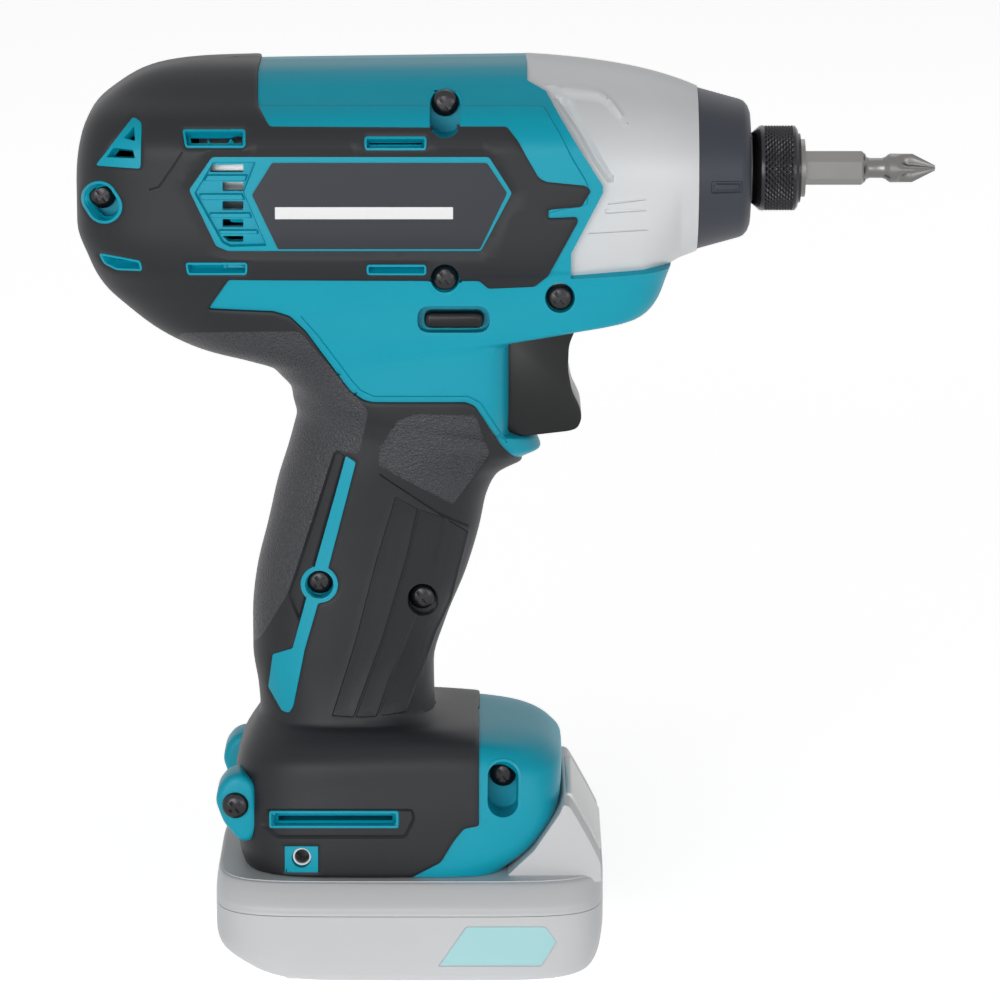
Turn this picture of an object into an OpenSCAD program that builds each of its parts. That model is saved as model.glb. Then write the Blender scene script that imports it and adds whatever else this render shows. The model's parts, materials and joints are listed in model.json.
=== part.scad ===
// Cordless impact driver with a slide-on battery pack.
// +X is the driving direction, +Z is up, and the middle plane is y = 0.
// The origin lies on the base plane, under the middle of the battery pack.

/* [Body] */
// Height of the pack's shoulder, where the foot of the handle begins
pack_h = 22.6; // [22:0.2:25]
// Height of the foot of the handle
foot_h = 32; // [31:0.5:36]
// Height of the grip
grip_h = 84.4; // [82:0.2:95]
// Depth of the head under the drive axis
head_down = 34.5; // [34:0.1:38]
// Height of the head above the drive axis
head_up = 24.8; // [24.6:0.1:27]
// Reach of the body behind the origin
rear_l = 71.7; // [71:0.1:76]
// Reach of the chin in front of the origin
front_l = 55.3; // [55:0.1:58]
// Half width of the head's plastic shell
head_w = 26; // [25.8:0.1:28]
// Half width of the grip's plastic shell
grip_w = 15.5; // [15.2:0.1:18]
// Half width of the foot's plastic shell
foot_w = 26; // [25.8:0.1:28]
// Wall of the plastic shell
wall = 2.4; // [2:0.1:2.8]
// Thickness of the moulded rubber
rubber_t = 1.2; // [0.8:0.1:1.6]

/* [Gear and hammer] */
// Rear face of the gear housing in front of the origin
gear_x = 11.8; // [11.6:0.1:13]
// Tooth module of the planetary gear
tooth_module = 0.7; // [0.68:0.01:0.71]
// Width of the planet wheels
planet_l = 5; // [4:0.5:5]
// Radius of the hammer
hammer_r = 19.4; // [18.8:0.1:19.4]
// Length of the hammer's solid body
hammer_l = 13; // [12.5:0.5:14]
// Free stroke of the hammer along the spindle
hammer_stroke = 6; // [4:0.5:6]
// Wall of the hammer case around the hammer
case_wall = 1.5; // [1.2:0.1:1.6]

/* [Chuck] */
// Width across flats of the hexagon shank
hex_af = 6.35; // [6:0.05:6.5]
// Length of the driver bit
bit_l = 49.9; // [48:0.5:60]
// Radius of the knurled sleeve
sleeve_r = 9.1; // [8.9:0.1:10]
// Stroke of the sleeve that frees the bit
sleeve_stroke = 3; // [2:0.5:3]

/* [Motor] */
// Outer radius of the motor yoke
yoke_r = 18; // [17.5:0.1:18.5]
// Length of the motor yoke
yoke_l = 35; // [33:0.5:36]
// Radius of the motor shaft
shaft_r = 2.5; // [2.2:0.1:2.6]

/* [Controls] */
// Stroke of the trigger
trigger_stroke = 6; // [4:0.5:6]
// Half width of the trigger
trigger_w = 8.2; // [7:0.2:8.4]
// Side stroke of the direction bar, either way from the middle
bar_stroke = 3; // [2:0.5:3]
// Stroke of the pack's release button
button_stroke = 3; // [2:0.5:3]

/* [Battery pack] */
// Half length of the pack
pack_x = 42.2; // [42:0.2:46]
// Half width of the pack
pack_w = 33; // [32.5:0.5:36]
// Radius of a cell
cell_r = 9.1; // [9:0.1:9.3]
// Length of a cell
cell_l = 65; // [62:0.5:65]

/* [Fasteners] */
// Radius of a housing screw's shank
screw_r = 1.5; // [1.3:0.1:1.6]
// Radius of a housing screw's head
screw_head_r = 2.9; // [2.7:0.1:3]
// Minor radius of the thread for the belt hook
hook_thread_r = 1.65; // [1.6:0.05:1.8]

/* [Hidden] */
$fn = 64;
// Running clearance of round fits, and clearance between fixed neighbours
run_gap = 0.05;
seat_gap = 0.1;
// Clearance around pieces that slide
slide_gap = 0.35;
// Length by which a cut runs past the faces that it opens
over = 1;
// Height of the drive axis
foot_z = pack_h;
grip_z = foot_z + foot_h;
head_z = grip_z + grip_h;
axis_z = head_z + head_down;
// Points and rings of the lofted shell
half_steps = 14;

// Places in the side view are shares. Across, -1 is the rear end and 1 the chin's front.
// Upward, 0 to 1 is the foot, 1 to 2 the grip, 2 to 3 the head under the axis and 3 to 4 above it.
// In front of the origin the foot keeps to the pack, and the rest of the body to its own reach.
foot_front_share = 0.60;
tower_l = 9.02;
foot_l = (pack_x - tower_l) / foot_front_share;
function x_at(s, z = 2) = s < 0 ? s * rear_l : s * (z < 1 ? foot_l : front_l);
function z_at(s) = s < 1 ? foot_z + s * foot_h
    : s < 2 ? grip_z + (s - 1) * grip_h
    : s < 3 ? head_z + (s - 2) * head_down
    : axis_z + (s - 3) * head_up;
function side(p) = [x_at(p[0], p[1]), z_at(p[1])];
function sides(list) = [for (p = list) side(p)];

// Cross sections of the shell, from the foot to the top: the rear point, the front point,
// the half width, how far the section follows an offset upward, and how square its two ends are
foot_row_shares = [
    [-0.57, 0.00, 0.38, 0.00, 1.00, 0.0, 5, 6],
    [-0.58, 0.17, 0.50, 0.17, 1.00, 0.0, 5, 6],
    [-0.58, 0.36, 0.59, 0.44, 0.99, 0.0, 5, 6],
    [-0.57, 0.57, 0.60, 0.70, 0.96, 0.2, 4.5, 5],
    [-0.54, 0.73, 0.57, 0.83, 0.90, 0.5, 4, 4],
    [-0.50, 0.83, 0.49, 0.93, 0.81, 0.8, 3.4, 3.4],
    [-0.46, 0.93, 0.36, 0.99, 0.72, 0.9, 3, 3],
];
grip_row_shares = [
    [-0.45, 1.02, 0.16, 1.01, 1.13, 0.6, 2.6, 2.6],
    [-0.45, 1.07, 0.08, 1.05, 1.06, 0.0, 2.4, 2.4],
    [-0.46, 1.16, 0.08, 1.12, 1.00, 0.0, 2.4, 2.4],
    [-0.46, 1.25, 0.13, 1.24, 1.00, 0.0, 2.4, 2.4],
    [-0.45, 1.37, 0.21, 1.37, 1.00, 0.0, 2.4, 2.4],
    [-0.42, 1.49, 0.26, 1.48, 1.02, 0.0, 2.4, 2.4],
    [-0.39, 1.60, 0.29, 1.57, 1.06, -0.1, 2.4, 2.4],
    [-0.36, 1.68, 0.34, 1.63, 1.10, -0.4, 2.4, 2.2],
    [-0.34, 1.74, 0.46, 1.66, 1.13, -0.3, 2.4, 2.0],
    [-0.33, 1.78, 0.50, 1.68, 1.15, 0.0, 2.4, 2.0],
    [-0.34, 1.82, 0.48, 1.71, 1.17, 0.2, 2.4, 2.2],
    [-0.35, 1.86, 0.39, 1.75, 1.19, 0.0, 2.5, 4],
    [-0.38, 1.89, 0.39, 1.87, 1.22, -0.2, 2.6, 6],
    [-0.42, 1.92, 0.39, 1.98, 1.25, -0.5, 2.8, 6],
];
head_row_shares = [
    [-0.50, 1.94, 0.67, 2.01, 0.77, -0.9, 3, 4],
    [-0.64, 1.97, 0.88, 2.09, 0.79, -0.8, 3, 4],
    [-0.75, 2.04, 0.95, 2.22, 0.81, -0.6, 3.2, 4],
    [-0.84, 2.19, 1.00, 2.36, 0.84, -0.4, 3.6, 4],
    [-0.91, 2.34, 1.00, 2.46, 0.90, -0.2, 4, 5],
    [-0.95, 2.52, 0.64, 2.50, 0.97, 0.0, 4.5, 12],
    [-0.98, 2.72, 0.68, 2.71, 1.00, 0.0, 4.5, 12],
    [-0.98, 2.96, 0.75, 3.00, 1.00, 0.0, 4.5, 12],
    [-0.97, 3.26, 0.70, 3.30, 1.00, 0.0, 4.5, 12],
    [-0.94, 3.50, 0.64, 3.56, 0.89, 0.3, 4.5, 12],
    [-0.87, 3.69, 0.60, 3.77, 0.66, 0.6, 4, 12],
    [-0.78, 3.84, 0.53, 3.91, 0.46, 0.9, 4, 12],
    [-0.66, 3.94, 0.47, 4.00, 0.30, 1.0, 4, 12],
];
function row_mm(r, w) = [side([r[0], r[1]]), side([r[2], r[3]]), r[4] * w, r[5], r[6], r[7]];
shell_rows = concat(
    [for (r = foot_row_shares) row_mm(r, foot_w)],
    [for (r = grip_row_shares) row_mm(r, grip_w)],
    [for (r = head_row_shares) row_mm(r, head_w)]);

// A point of a section, offset by g, at an angle from the rear seam round the right side
function flat_power(v, p) = sign(v) * pow(abs(v), 2 / p);
function rim_point(row, g, a) =
    let (
        rear = row[0], front = row[1], span = front - rear,
        dir = span / norm(span), half = norm(span) / 2 + g, mid = (rear + front) / 2,
        p = cos(a) > 0 ? row[4] : row[5],
        at = mid - half * flat_power(cos(a), p) * dir)
    [at[0], -(row[2] + g) * flat_power(sin(a), p), at[1] + g * row[3]];
function section(row, g) = [for (j = [0:half_steps]) rim_point(row, g, 180 * j / half_steps)];
function skin(rows, g) = [for (r = rows) each section(r, g)];

// Faces between two grids of points that share their rows and columns
function quad(a, b, c, d) = [[c, b, a], [d, c, a]];
function grid_faces(rows, start, flip) =
    let (n = half_steps + 1)
    [for (i = [0:rows - 2], j = [0:half_steps - 1])
        let (a = start + i * n + j, b = a + 1, c = b + n, d = a + n)
        each (flip ? quad(a, d, c, b) : quad(a, b, c, d))];
function fan(first, count, flip) =
    [for (j = [1:count - 2]) flip ? [first, first + j, first + j + 1] : [first, first + j + 1, first + j]];

// The right half of a shell between two offsets, open at the bottom
module half_shell(rows, outer, inner) {
    n = half_steps + 1;
    count = len(rows);
    total = count * n;
    top = (count - 1) * n;
    rear = [for (i = [0:count - 2]) each quad(i * n, (i + 1) * n, total + (i + 1) * n, total + i * n)];
    front = [for (i = [0:count - 2])
        let (a = i * n + half_steps, b = a + n)
        each quad(a, total + a, total + b, b)];
    rim = [for (j = [0:half_steps - 1]) each quad(j + 1, j, total + j, total + j + 1)];
    cap = quad(top, top + half_steps, total + top + half_steps, total + top);
    polyhedron(
        concat(skin(rows, outer), skin(rows, inner)),
        concat(
            grid_faces(count, 0, false), grid_faces(count, total, true), rear, front, rim,
            fan(top, n, false), fan(total + top, n, true), cap));
}

// The right half of the solid inside an offset
module half_solid(rows, g) {
    n = half_steps + 1;
    count = len(rows);
    top = (count - 1) * n;
    seam = [for (i = [0:count - 2])
        let (a = i * n, b = a + half_steps)
        each quad(a, a + n, b + n, b)];
    polyhedron(
        skin(rows, g),
        concat(grid_faces(count, 0, false), fan(top, n, false), fan(0, n, true), seam));
}

// The whole solid inside an offset, with no point on the middle plane
module full_solid(rows, g) {
    n = 2 * half_steps;
    count = len(rows);
    points = [for (r = rows, j = [0:n - 1]) rim_point(r, g, 360 * (j + 0.5) / n)];
    faces = [for (i = [0:count - 2], j = [0:n - 1])
        let (a = i * n + j, b = i * n + (j + 1) % n)
        each quad(a, b, b + n, a + n)];
    polyhedron(points, concat(faces, fan((count - 1) * n, n, false), fan(0, n, true)));
}

// Helpers: prisms across the tool, and rods, prisms and turned shapes along the drive axis
module across(y0, y1) {
    translate([0, y1, 0]) rotate([90, 0, 0]) linear_extrude(y1 - y0) children();
}
module along(x0, l) {
    translate([x0, 0, axis_z]) rotate([0, 90, 0]) linear_extrude(l) children();
}
module rod(x0, l, r) {
    translate([x0, 0, axis_z]) rotate([0, 90, 0]) cylinder(h = l, r = r);
}
module tube(x0, l, outer, inner) {
    difference() {
        rod(x0, l, outer);
        rod(x0 - over, l + 2 * over, inner);
    }
}
// A circle as a fine polygon, for a hole in a lofted shell
module circle_points(r) {
    corners = 48;
    polygon([for (i = [0:corners - 1]) r * [cos(360 * i / corners), sin(360 * i / corners)]]);
}
module turned(points) {
    translate([0, 0, axis_z]) rotate([0, 90, 0]) rotate_extrude() polygon(points);
}
module block(x0, x1, y0, y1, z0, z1) {
    translate([x0, y0, z0]) cube([x1 - x0, y1 - y0, z1 - z0]);
}
module pill(l, h) {
    hull() for (s = [-1, 1]) translate([s * (l - h) / 2, 0]) circle(d = h);
}

// Axial chain of the drive, from the gear housing forward
box_neck_l = 7.8;
box_neck_r = 11.5;
bearing_r = 8;
bearing_l = 5;
box_l = 6.2;
spindle_bearing_r = 12;
spindle_bearing_l = 5;
journal_r = 7.5;
teeth_sun = 9;
teeth_planet = 19;
teeth_ring = 47;
planet_space = 0.6;
case_bore_r = hammer_r + 0.03 * hammer_r;
case_r = case_bore_r + case_wall;
insert_r = case_bore_r - seat_gap;
ring_x = gear_x + box_l;
ring_l = planet_l + 2 * planet_space + seat_gap;
flange_x = ring_x + ring_l + seat_gap;
flange_l = 3;
flange_r = 14.6;
stroke_room = 0.5;
hub_x = flange_x + flange_l + hammer_stroke + stroke_room;
hub_lead = 3;
hammer_x = hub_x - hub_lead;
hammer_end = hammer_x + hammer_l;
lug_l = 4;
wing_gap = 0.8;
wing_x = hammer_end + wing_gap;
wing_l = 4;
washer_l = 0.6;
washer_x = wing_x + wing_l + seat_gap;
bush_x = washer_x + washer_l + seat_gap;
bush_l = 14;
bush_r = 9.5;
anvil_r = 7;
nose_l = 23.6;
nose_r = 13;
nose_end = bush_x + nose_l;
orbit_r = tooth_module * (teeth_sun + teeth_planet) / 2;
pin_r = 2;
spindle_r = 7;
pilot_r = 3;
pilot_l = 5;

// Chuck
neck_r = 6.2;
nose_gap = 0.7;
sleeve_x = nose_end + nose_gap;
sleeve_neck_l = 1.8;
sleeve_neck_r = 7.7;
land_x = sleeve_x + sleeve_neck_l;
land_l = 2.4;
chamber_r = 8;
sleeve_wire_r = 0.2;
sleeve_turns = 3;
clip_l = 0.8;
clip_x = land_x + land_l + sleeve_stroke + 2 * (sleeve_turns + 1) * sleeve_wire_r;
sleeve_l = clip_x + clip_l - sleeve_x;
anvil_lip = 1.6;
anvil_end = clip_x + clip_l + anvil_lip;
lock_ball_r = 1.4;
lock_x = land_x + land_l / 2;
hex_gap = 0.08;
hex_r = hex_af / 2 / cos(30);
socket_l = 22;
bit_start = anvil_end - socket_l + seat_gap;
bit_tip = bit_start + bit_l;

// Axial chain of the motor, from the gear housing backward
box_rear = gear_x - box_neck_l;
fan_gap = 2.4;
fan_l = 9;
fan_r = 16.8;
fan_x = box_rear - fan_gap - fan_l;
fan_room = 1.5;
yoke_x = fan_x - fan_room - yoke_l;
yoke_wall = 1.6;
magnet_t = 3.2;
air_gap = 0.6;
core_r = yoke_r - yoke_wall - magnet_t - air_gap - seat_gap;
core_inset = 6;
core_l = yoke_l - 2 * core_inset;
winding_l = 3;
commutator_l = 8;
commutator_r = 7;
commutator_x = yoke_x + core_inset - winding_l - commutator_l - seat_gap;
bearing_room = 1.6;
rear_bearing_x = commutator_x - bearing_l - bearing_room;
holder_r = 16.2;
holder_l = 5;
holder_x = commutator_x + (commutator_l - holder_l) / 2;
brush_w = 4.6;
pinion_x = ring_x + planet_space;
pinion_l = planet_l;

// Screws across the tool, with the share of the head's half width at which each head sits
screw_place_shares = [
    [-0.88, 2.88, 0.62], [0.14, 3.67, 0.60], [0.15, 2.43, 0.83], [0.58, 2.30, 0.74],
    [-0.27, 1.38, 0.52], [0.05, 1.34, 0.46], [-0.54, 0.39, 0.52], [0.35, 0.63, 0.62],
];
screw_head_l = 2;
screw_tail = 9;
boss_t = 1.2;
boss_r = screw_r + run_gap + boss_t;

// Openings, plates and controls in the side view
mouth_shares = [
    [1.6, 2.1], [0.64, 2.1], [0.645, 2.50], [0.68, 2.71], [0.755, 3.00], [0.70, 3.30],
    [0.64, 3.56], [0.60, 3.77], [0.53, 3.91], [0.475, 4.00], [0.475, 4.6], [1.6, 4.6],
];
panel_shares = [[-0.64, 2.90], [-0.53, 3.27], [0.32, 3.27], [0.42, 2.98], [0.30, 2.61], [-0.53, 2.63]];
plate_shares = [[-0.45, 2.90], [-0.40, 3.22], [0.31, 3.22], [0.40, 2.98], [0.29, 2.66], [-0.38, 2.66]];
plate_t = 0.8;
louvre_count = 5;
louvre_low_share = 2.67;
louvre_high_share = 3.20;
louvre_rear_share = -0.60;
louvre_front_share = -0.47;
louvre_h = 2;
slot_shares = [
    [[-0.64, 3.35], [-0.48, 3.46]], [[-0.12, 3.34], [0.07, 3.43]],
    [[-0.64, 2.48], [-0.47, 2.54]], [[-0.11, 2.47], [0.08, 2.53]],
];
rear_vent_shares = [
    [[-0.79, 3.50], [-0.78, 3.18], [-0.89, 3.20]],
    [[-0.88, 2.56], [-0.78, 2.52], [-0.78, 2.46], [-0.87, 2.50]],
];
rubber_shares = [
    [-0.43, 4.6], [-0.43, 3.96], [-0.41, 3.62], [-0.38, 3.50], [0.40, 3.50], [0.57, 3.04], [0.70, 3.02],
    [0.65, 2.81], [0.51, 2.43], [0.47, 2.38], [0.29, 2.38], [0.08, 2.43], [-0.53, 2.45], [-0.59, 2.21],
    [-0.40, 2.20], [-0.35, 2.13], [-0.26, 1.99], [-0.16, 1.86], [-0.10, 1.84], [0.25, 1.85], [0.32, 1.82],
    [0.37, 1.74], [0.40, 1.66], [0.5, 1.5], [0.5, 1.03], [0.26, 1.03], [0.27, 0.35], [0.23, 0.35],
    [0.23, -0.1], [-0.525, -0.1], [-0.525, 0.78], [-0.75, 0.9], [-1.2, 2], [-1.2, 4.6],
];
stripe_shares = [
    [-0.19, 1.69], [-0.15, 1.68], [-0.25, 1.40], [-0.29, 1.30], [-0.335, 1.20], [-0.36, 1.05],
    [-0.38, 1.05], [-0.41, 1.12], [-0.40, 1.18], [-0.35, 1.24], [-0.30, 1.36],
];
stripe_ring_r = 3.7;
trigger_shares = [
    [0.65, 1.985], [0.635, 1.95], [0.625, 1.90], [0.63, 1.85], [0.655, 1.80], [0.68, 1.77],
    [0.68, 1.75], [0.66, 1.735], [0.60, 1.728], [0.30, 1.728], [0.30, 1.985],
];
trigger_low = z_at(1.728);
trigger_high = z_at(1.985);
trigger_rear = x_at(0.30);
bar_mid = side([0.18, 2.16]);
bar_l = 15.2;
bar_h = 6;
bar_half_y = 0.8 * head_w + bar_stroke / 3;
hook_place = side([-0.32, 0.15]);
hook_nut_r = 3;
// The nut reaches from the foot's side almost to the pack's deck
deck_w = 20;
hook_nut_gap = 1;
hook_nut_l = foot_w - deck_w - hook_nut_gap;
hook_slot = [side([-0.41, 0.345]), side([-0.03, 0.445])];
hook_slot_depth = 1.4;
chin_rear_share = 0.62;
lamp_place = side([0.945, 2.18]);
lamp_tilt = 30;
lens_r = 3.4;
lens_l = 2;
lamp_r = 2.4;
lamp_l = 5.6;
lamp_body_l = lamp_l - wall - lamp_r - seat_gap;

// Switch and terminal block
switch_w = 8.3;
switch_front = trigger_rear - trigger_stroke - 2 * slide_gap;
switch_l = 22;
switch_low = trigger_low + slide_gap;
switch_high = trigger_high - slide_gap;
plunger_r = 2.4;
plunger_l = 14;
spring_pocket_r = 4.4;
spring_pocket_l = 8;
trigger_wire_r = 0.4;
plunger_z = (trigger_low + trigger_high) / 2;
block_low = z_at(0.45);
block_high = z_at(0.75);
block_rear = x_at(-0.36);
block_front = x_at(0.13, 0);
block_w = 17;
blade_t = 1;
blade_rear = block_rear + 4 * blade_t;
blade_l = 14;
blade_shares = [-0.75, -0.25, 0.25, 0.75];

// Pack rails and deck
deck_neck_w = 16.6;
deck_h = 11;
rail_low = z_at(0.05);
rail_high = z_at(0.16);
deck_top = pack_h + deck_h;
deck_rear = -0.82 * pack_x;
tower_x = x_at(foot_front_share, 0) + slide_gap;

module housing_inside() {
    rib_t = 2;
    head_floor = head_z + 0.35 * head_down;
    head_roof = axis_z + 2 * head_up;
    ribs = [
        [rear_bearing_x, bearing_l], [holder_x, holder_l], [yoke_x + 2 * rib_t, rib_t],
        [yoke_x + yoke_l - 3 * rib_t, rib_t], [box_rear + rib_t, 2 * rib_t], [gear_x + rib_t, rib_t],
        [ring_x + 2 * rib_t, rib_t],
    ];
    for (r = ribs) block(r[0], r[0] + r[1], -2 * head_w, 2 * head_w, head_floor, head_roof);
    for (s = screw_place_shares) translate([x_at(s[0], s[1]), 0, z_at(s[1])]) rotate([90, 0, 0]) {
        cylinder(h = 4 * head_w, r = boss_r, center = true);
        translate([0, 0, s[2] * head_w - boss_t])
            cylinder(h = 2 * head_w, r = screw_head_r + seat_gap + boss_t);
    }
    // Walls beside the switch and the terminal block, and the rail that carries the pack
    for (x = [switch_front - switch_l + 2 * rib_t, switch_front - 3 * rib_t])
        block(x, x + rib_t, -2 * head_w, -switch_w - seat_gap, switch_low, switch_high);
    for (x = [block_rear + rib_t, block_front - 2 * rib_t])
        block(x, x + rib_t, -2 * foot_w, -block_w - seat_gap, block_low, block_high);
    block(deck_rear, x_at(0.3, 0), -2 * foot_w, -deck_neck_w - slide_gap, rail_low, rail_high);
    translate([hook_place[0], 0, hook_place[1]]) rotate([90, 0, 0])
        translate([0, 0, foot_w - hook_nut_l - wall]) cylinder(h = 2 * foot_w, r = hook_nut_r + boss_t);
    // The chin is solid round the lamp
    block(x_at(chin_rear_share), 2 * front_l, -2 * head_w, 2 * head_w, head_z - wall, z_at(2.6));
}

module lamp_frame() {
    translate([lamp_place[0], 0, lamp_place[1]]) rotate([0, 90 + lamp_tilt, 0]) children();
}

// Everything that is cut out of the plastic shells
module housing_cuts(heads) {
    rod(rear_bearing_x - seat_gap, bearing_l + 2 * seat_gap, bearing_r + run_gap);
    rod(rear_bearing_x - over, bearing_l + 2 * over, bearing_r / 2);
    rod(holder_x - over, holder_l + 2 * over, holder_r + seat_gap);
    rod(yoke_x - seat_gap, fan_x + fan_l - yoke_x + over, yoke_r + seat_gap);
    rod(box_rear - over, gear_x - box_rear + over, box_neck_r + seat_gap);
    along(gear_x - seat_gap, nose_end - gear_x) circle_points(case_r + seat_gap);
    case_skin(seat_gap);
    for (s = screw_place_shares) translate([x_at(s[0], s[1]), 0, z_at(s[1])]) rotate([90, 0, 0]) {
        translate([0, 0, -over])
            cylinder(h = (heads ? head_w : screw_tail) + 2 * over, r = screw_r + run_gap);
        if (heads) translate([0, 0, s[2] * head_w]) cylinder(h = 2 * head_w, r = screw_head_r + seat_gap);
    }
    block(trigger_rear - trigger_stroke - 3 * slide_gap, front_l,
        -trigger_w - slide_gap, trigger_w + slide_gap,
        trigger_low - slide_gap, trigger_high + slide_gap);
    across(-2 * head_w, 2 * head_w) translate(bar_mid) pill(bar_l + 2 * slide_gap, bar_h + 2 * slide_gap);
    vents();
    translate([hook_place[0], 0, hook_place[1]]) rotate([90, 0, 0])
        translate([0, 0, foot_w - hook_nut_l]) cylinder(h = 2 * foot_w, r = hook_nut_r + run_gap);
    block(hook_slot[0][0], hook_slot[1][0], -2 * foot_w, -foot_w + hook_slot_depth,
        hook_slot[0][1], hook_slot[1][1]);
    lamp_frame() {
        translate([0, 0, -lens_l]) cylinder(h = 2 * lens_l, r = lens_r + run_gap);
        translate([0, 0, -lamp_l - lens_l + wall]) cylinder(h = lamp_l, r = lamp_r + run_gap);
    }
    // Way out of the pack's deck through the front of the foot
    block(deck_rear - slide_gap, 2 * front_l, -deck_w - slide_gap, deck_w + slide_gap,
        rail_high, deck_top + slide_gap);
    block(x_at(0.3, 0), 2 * front_l, -deck_w - slide_gap, deck_w + slide_gap, 0, rail_high + over);
}

module vents() {
    step = (z_at(louvre_high_share) - z_at(louvre_low_share)) / (louvre_count - 1);
    for (s = slot_shares) {
        low = side(s[0]);
        high = side(s[1]);
        block(low[0], high[0], -2 * head_w, -yoke_r, low[1], high[1]);
    }
    for (i = [0:louvre_count - 1])
        translate([0, 0, z_at(louvre_low_share) + i * step - louvre_h / 2])
            block(x_at(louvre_rear_share), x_at(louvre_front_share), -2 * head_w, -yoke_r, 0, louvre_h);
    for (v = rear_vent_shares) across(-2 * head_w, -bearing_r - boss_t) polygon(sides(v));
}

// Hollow of the shell, less the ribs and bosses that stand in it, and open at the bottom
module housing_cavity() {
    floor_row = [shell_rows[0][0] - [0, wall], shell_rows[0][1] - [0, wall], shell_rows[0][2], 0, 5, 6];
    difference() {
        full_solid(concat([floor_row], shell_rows), -wall);
        housing_inside();
    }
}

module half_housing(heads) {
    difference() {
        half_solid(shell_rows, 0);
        housing_cavity();
        housing_cuts(heads);
    }
}

module housing_right() {
    color("#0C8C9C") half_housing(true);
}
module housing_left() {
    color("#0C8C9C") mirror([0, 1, 0]) half_housing(false);
}

// Rubber moulded over the shell, open round the side panel, the stripe and the screws
module half_grip(heads) {
    difference() {
        intersection() {
            half_shell(shell_rows, rubber_t, seat_gap);
            across(-2 * pack_w, 0) difference() {
                polygon(sides(rubber_shares));
                polygon(sides(panel_shares));
                polygon(sides(stripe_shares));
                translate(side([-0.27, 1.38])) circle(stripe_ring_r);
            }
        }
        if (heads) for (s = screw_place_shares)
            translate([x_at(s[0], s[1]), 0, z_at(s[1])]) rotate([90, 0, 0])
                cylinder(h = 2 * head_w, r = screw_head_r + seat_gap);
        vents();
        across(-2 * foot_w, 0) {
            translate(hook_place) square(2.2 * hook_nut_r, center = true);
            translate(hook_slot[0]) square(hook_slot[1] - hook_slot[0]);
        }
    }
}

module grip_right() {
    color("#3A3B3F") half_grip(true);
}
module grip_left() {
    color("#3A3B3F") mirror([0, 1, 0]) half_grip(false);
}

module side_plate() {
    across(-head_w - seat_gap - plate_t, -head_w - seat_gap) polygon(sides(plate_shares));
}
module plate_right() {
    color("#4A4C50") side_plate();
}
module plate_left() {
    color("#4A4C50") mirror([0, 1, 0]) side_plate();
}

// Silver outside of the hammer case: radius shares of the head's height along shares of its length
case_skin_shares = [
    [0, 1.0], [0.24, 0.985], [0.44, 0.955], [0.62, 0.905], [0.80, 0.835], [0.97, 0.74], [1, 0.71],
];
case_skin_x = 0.33 * front_l;
case_skin_end = bush_x + 0.52 * nose_l;
module case_skin(g) {
    l = case_skin_end - case_skin_x;
    intersection() {
        turned(concat(
            [[0, case_skin_x - g]],
            [for (s = case_skin_shares) [s[1] * head_up + g, case_skin_x + s[0] * l + (s[0] == 1 ? g : 0)]],
            [[0, case_skin_end + g]]));
        across(-2 * head_w, 2 * head_w) polygon(sides(mouth_shares));
    }
}

module hammer_case() {
    color("#C9CBCD") difference() {
        union() {
            rod(gear_x, bush_x - gear_x, case_r);
            case_skin(0);
            rod(case_skin_end - case_wall, nose_end - case_skin_end + case_wall, nose_r);
        }
        rod(gear_x - over, washer_x + washer_l - gear_x + over, case_bore_r);
        rod(gear_x, nose_end - gear_x + over, bush_r);
    }
}

module nose_bumper() {
    x0 = case_skin_end + seat_gap;
    l = nose_end - x0;
    back_r = case_skin_shares[6][1] * head_up - seat_gap;
    color("#303134") turned([
        [nose_r + run_gap, x0], [back_r, x0], [back_r, x0 + 0.2 * l], [0.86 * back_r, x0 + 0.8 * l],
        [0.78 * back_r, x0 + 0.95 * l], [nose_r + run_gap, x0 + 0.98 * l]]);
}

module thrust_washer() {
    color("#E6E4DC") tube(washer_x, washer_l, case_bore_r - seat_gap, anvil_r + seat_gap);
}

module front_bush() {
    color("#B08D57") tube(bush_x, bush_l, bush_r, anvil_r + run_gap);
}

// Involute wheel: angle of the flank at a radius, measured from the middle of a tooth
function involute(a) = tan(a) * 180 / PI - a;
function wheel(teeth, tip, root, thin) =
    let (
        rp = tooth_module * teeth / 2, rb = rp * cos(25), low = max(root, rb), steps = 4,
        half = 90 / teeth - thin / rp * 90 / PI + involute(25),
        flank = [for (j = [0:steps])
            let (r = low + (tip - low) * j / steps) [r, half - involute(acos(min(1, rb / r)))]],
        full = root < rb ? concat([[root, half]], flank) : flank,
        n = len(full))
    [for (k = [0:teeth - 1], s = [-1, 1], j = [0:n - 1])
        let (p = full[s < 0 ? j : n - 1 - j], a = 360 * k / teeth + s * p[1])
        p[0] * [cos(a), sin(a)]];
addendum = 0.85 * tooth_module;
dedendum = 1.2 * tooth_module;
backlash = 0.14 * tooth_module;
function pitch_r(teeth) = tooth_module * teeth / 2;

module ring_gear() {
    color("#9A9C9F") along(ring_x, ring_l) difference() {
        circle(insert_r);
        polygon(wheel(teeth_ring, pitch_r(teeth_ring) + dedendum, pitch_r(teeth_ring) - addendum, -backlash));
    }
}

module bearing_box() {
    color("#8E9093") difference() {
        union() {
            rod(box_rear, box_neck_l + seat_gap, box_neck_r);
            rod(gear_x, box_l, insert_r);
        }
        rod(box_rear - over, bearing_l + 2 * over, bearing_r);
        rod(gear_x, box_l, journal_r - 2 * shaft_r / 3);
        rod(gear_x + box_l - spindle_bearing_l, spindle_bearing_l + over, spindle_bearing_r);
        rod(box_rear, gear_x, shaft_r + air_gap);
    }
}

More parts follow.
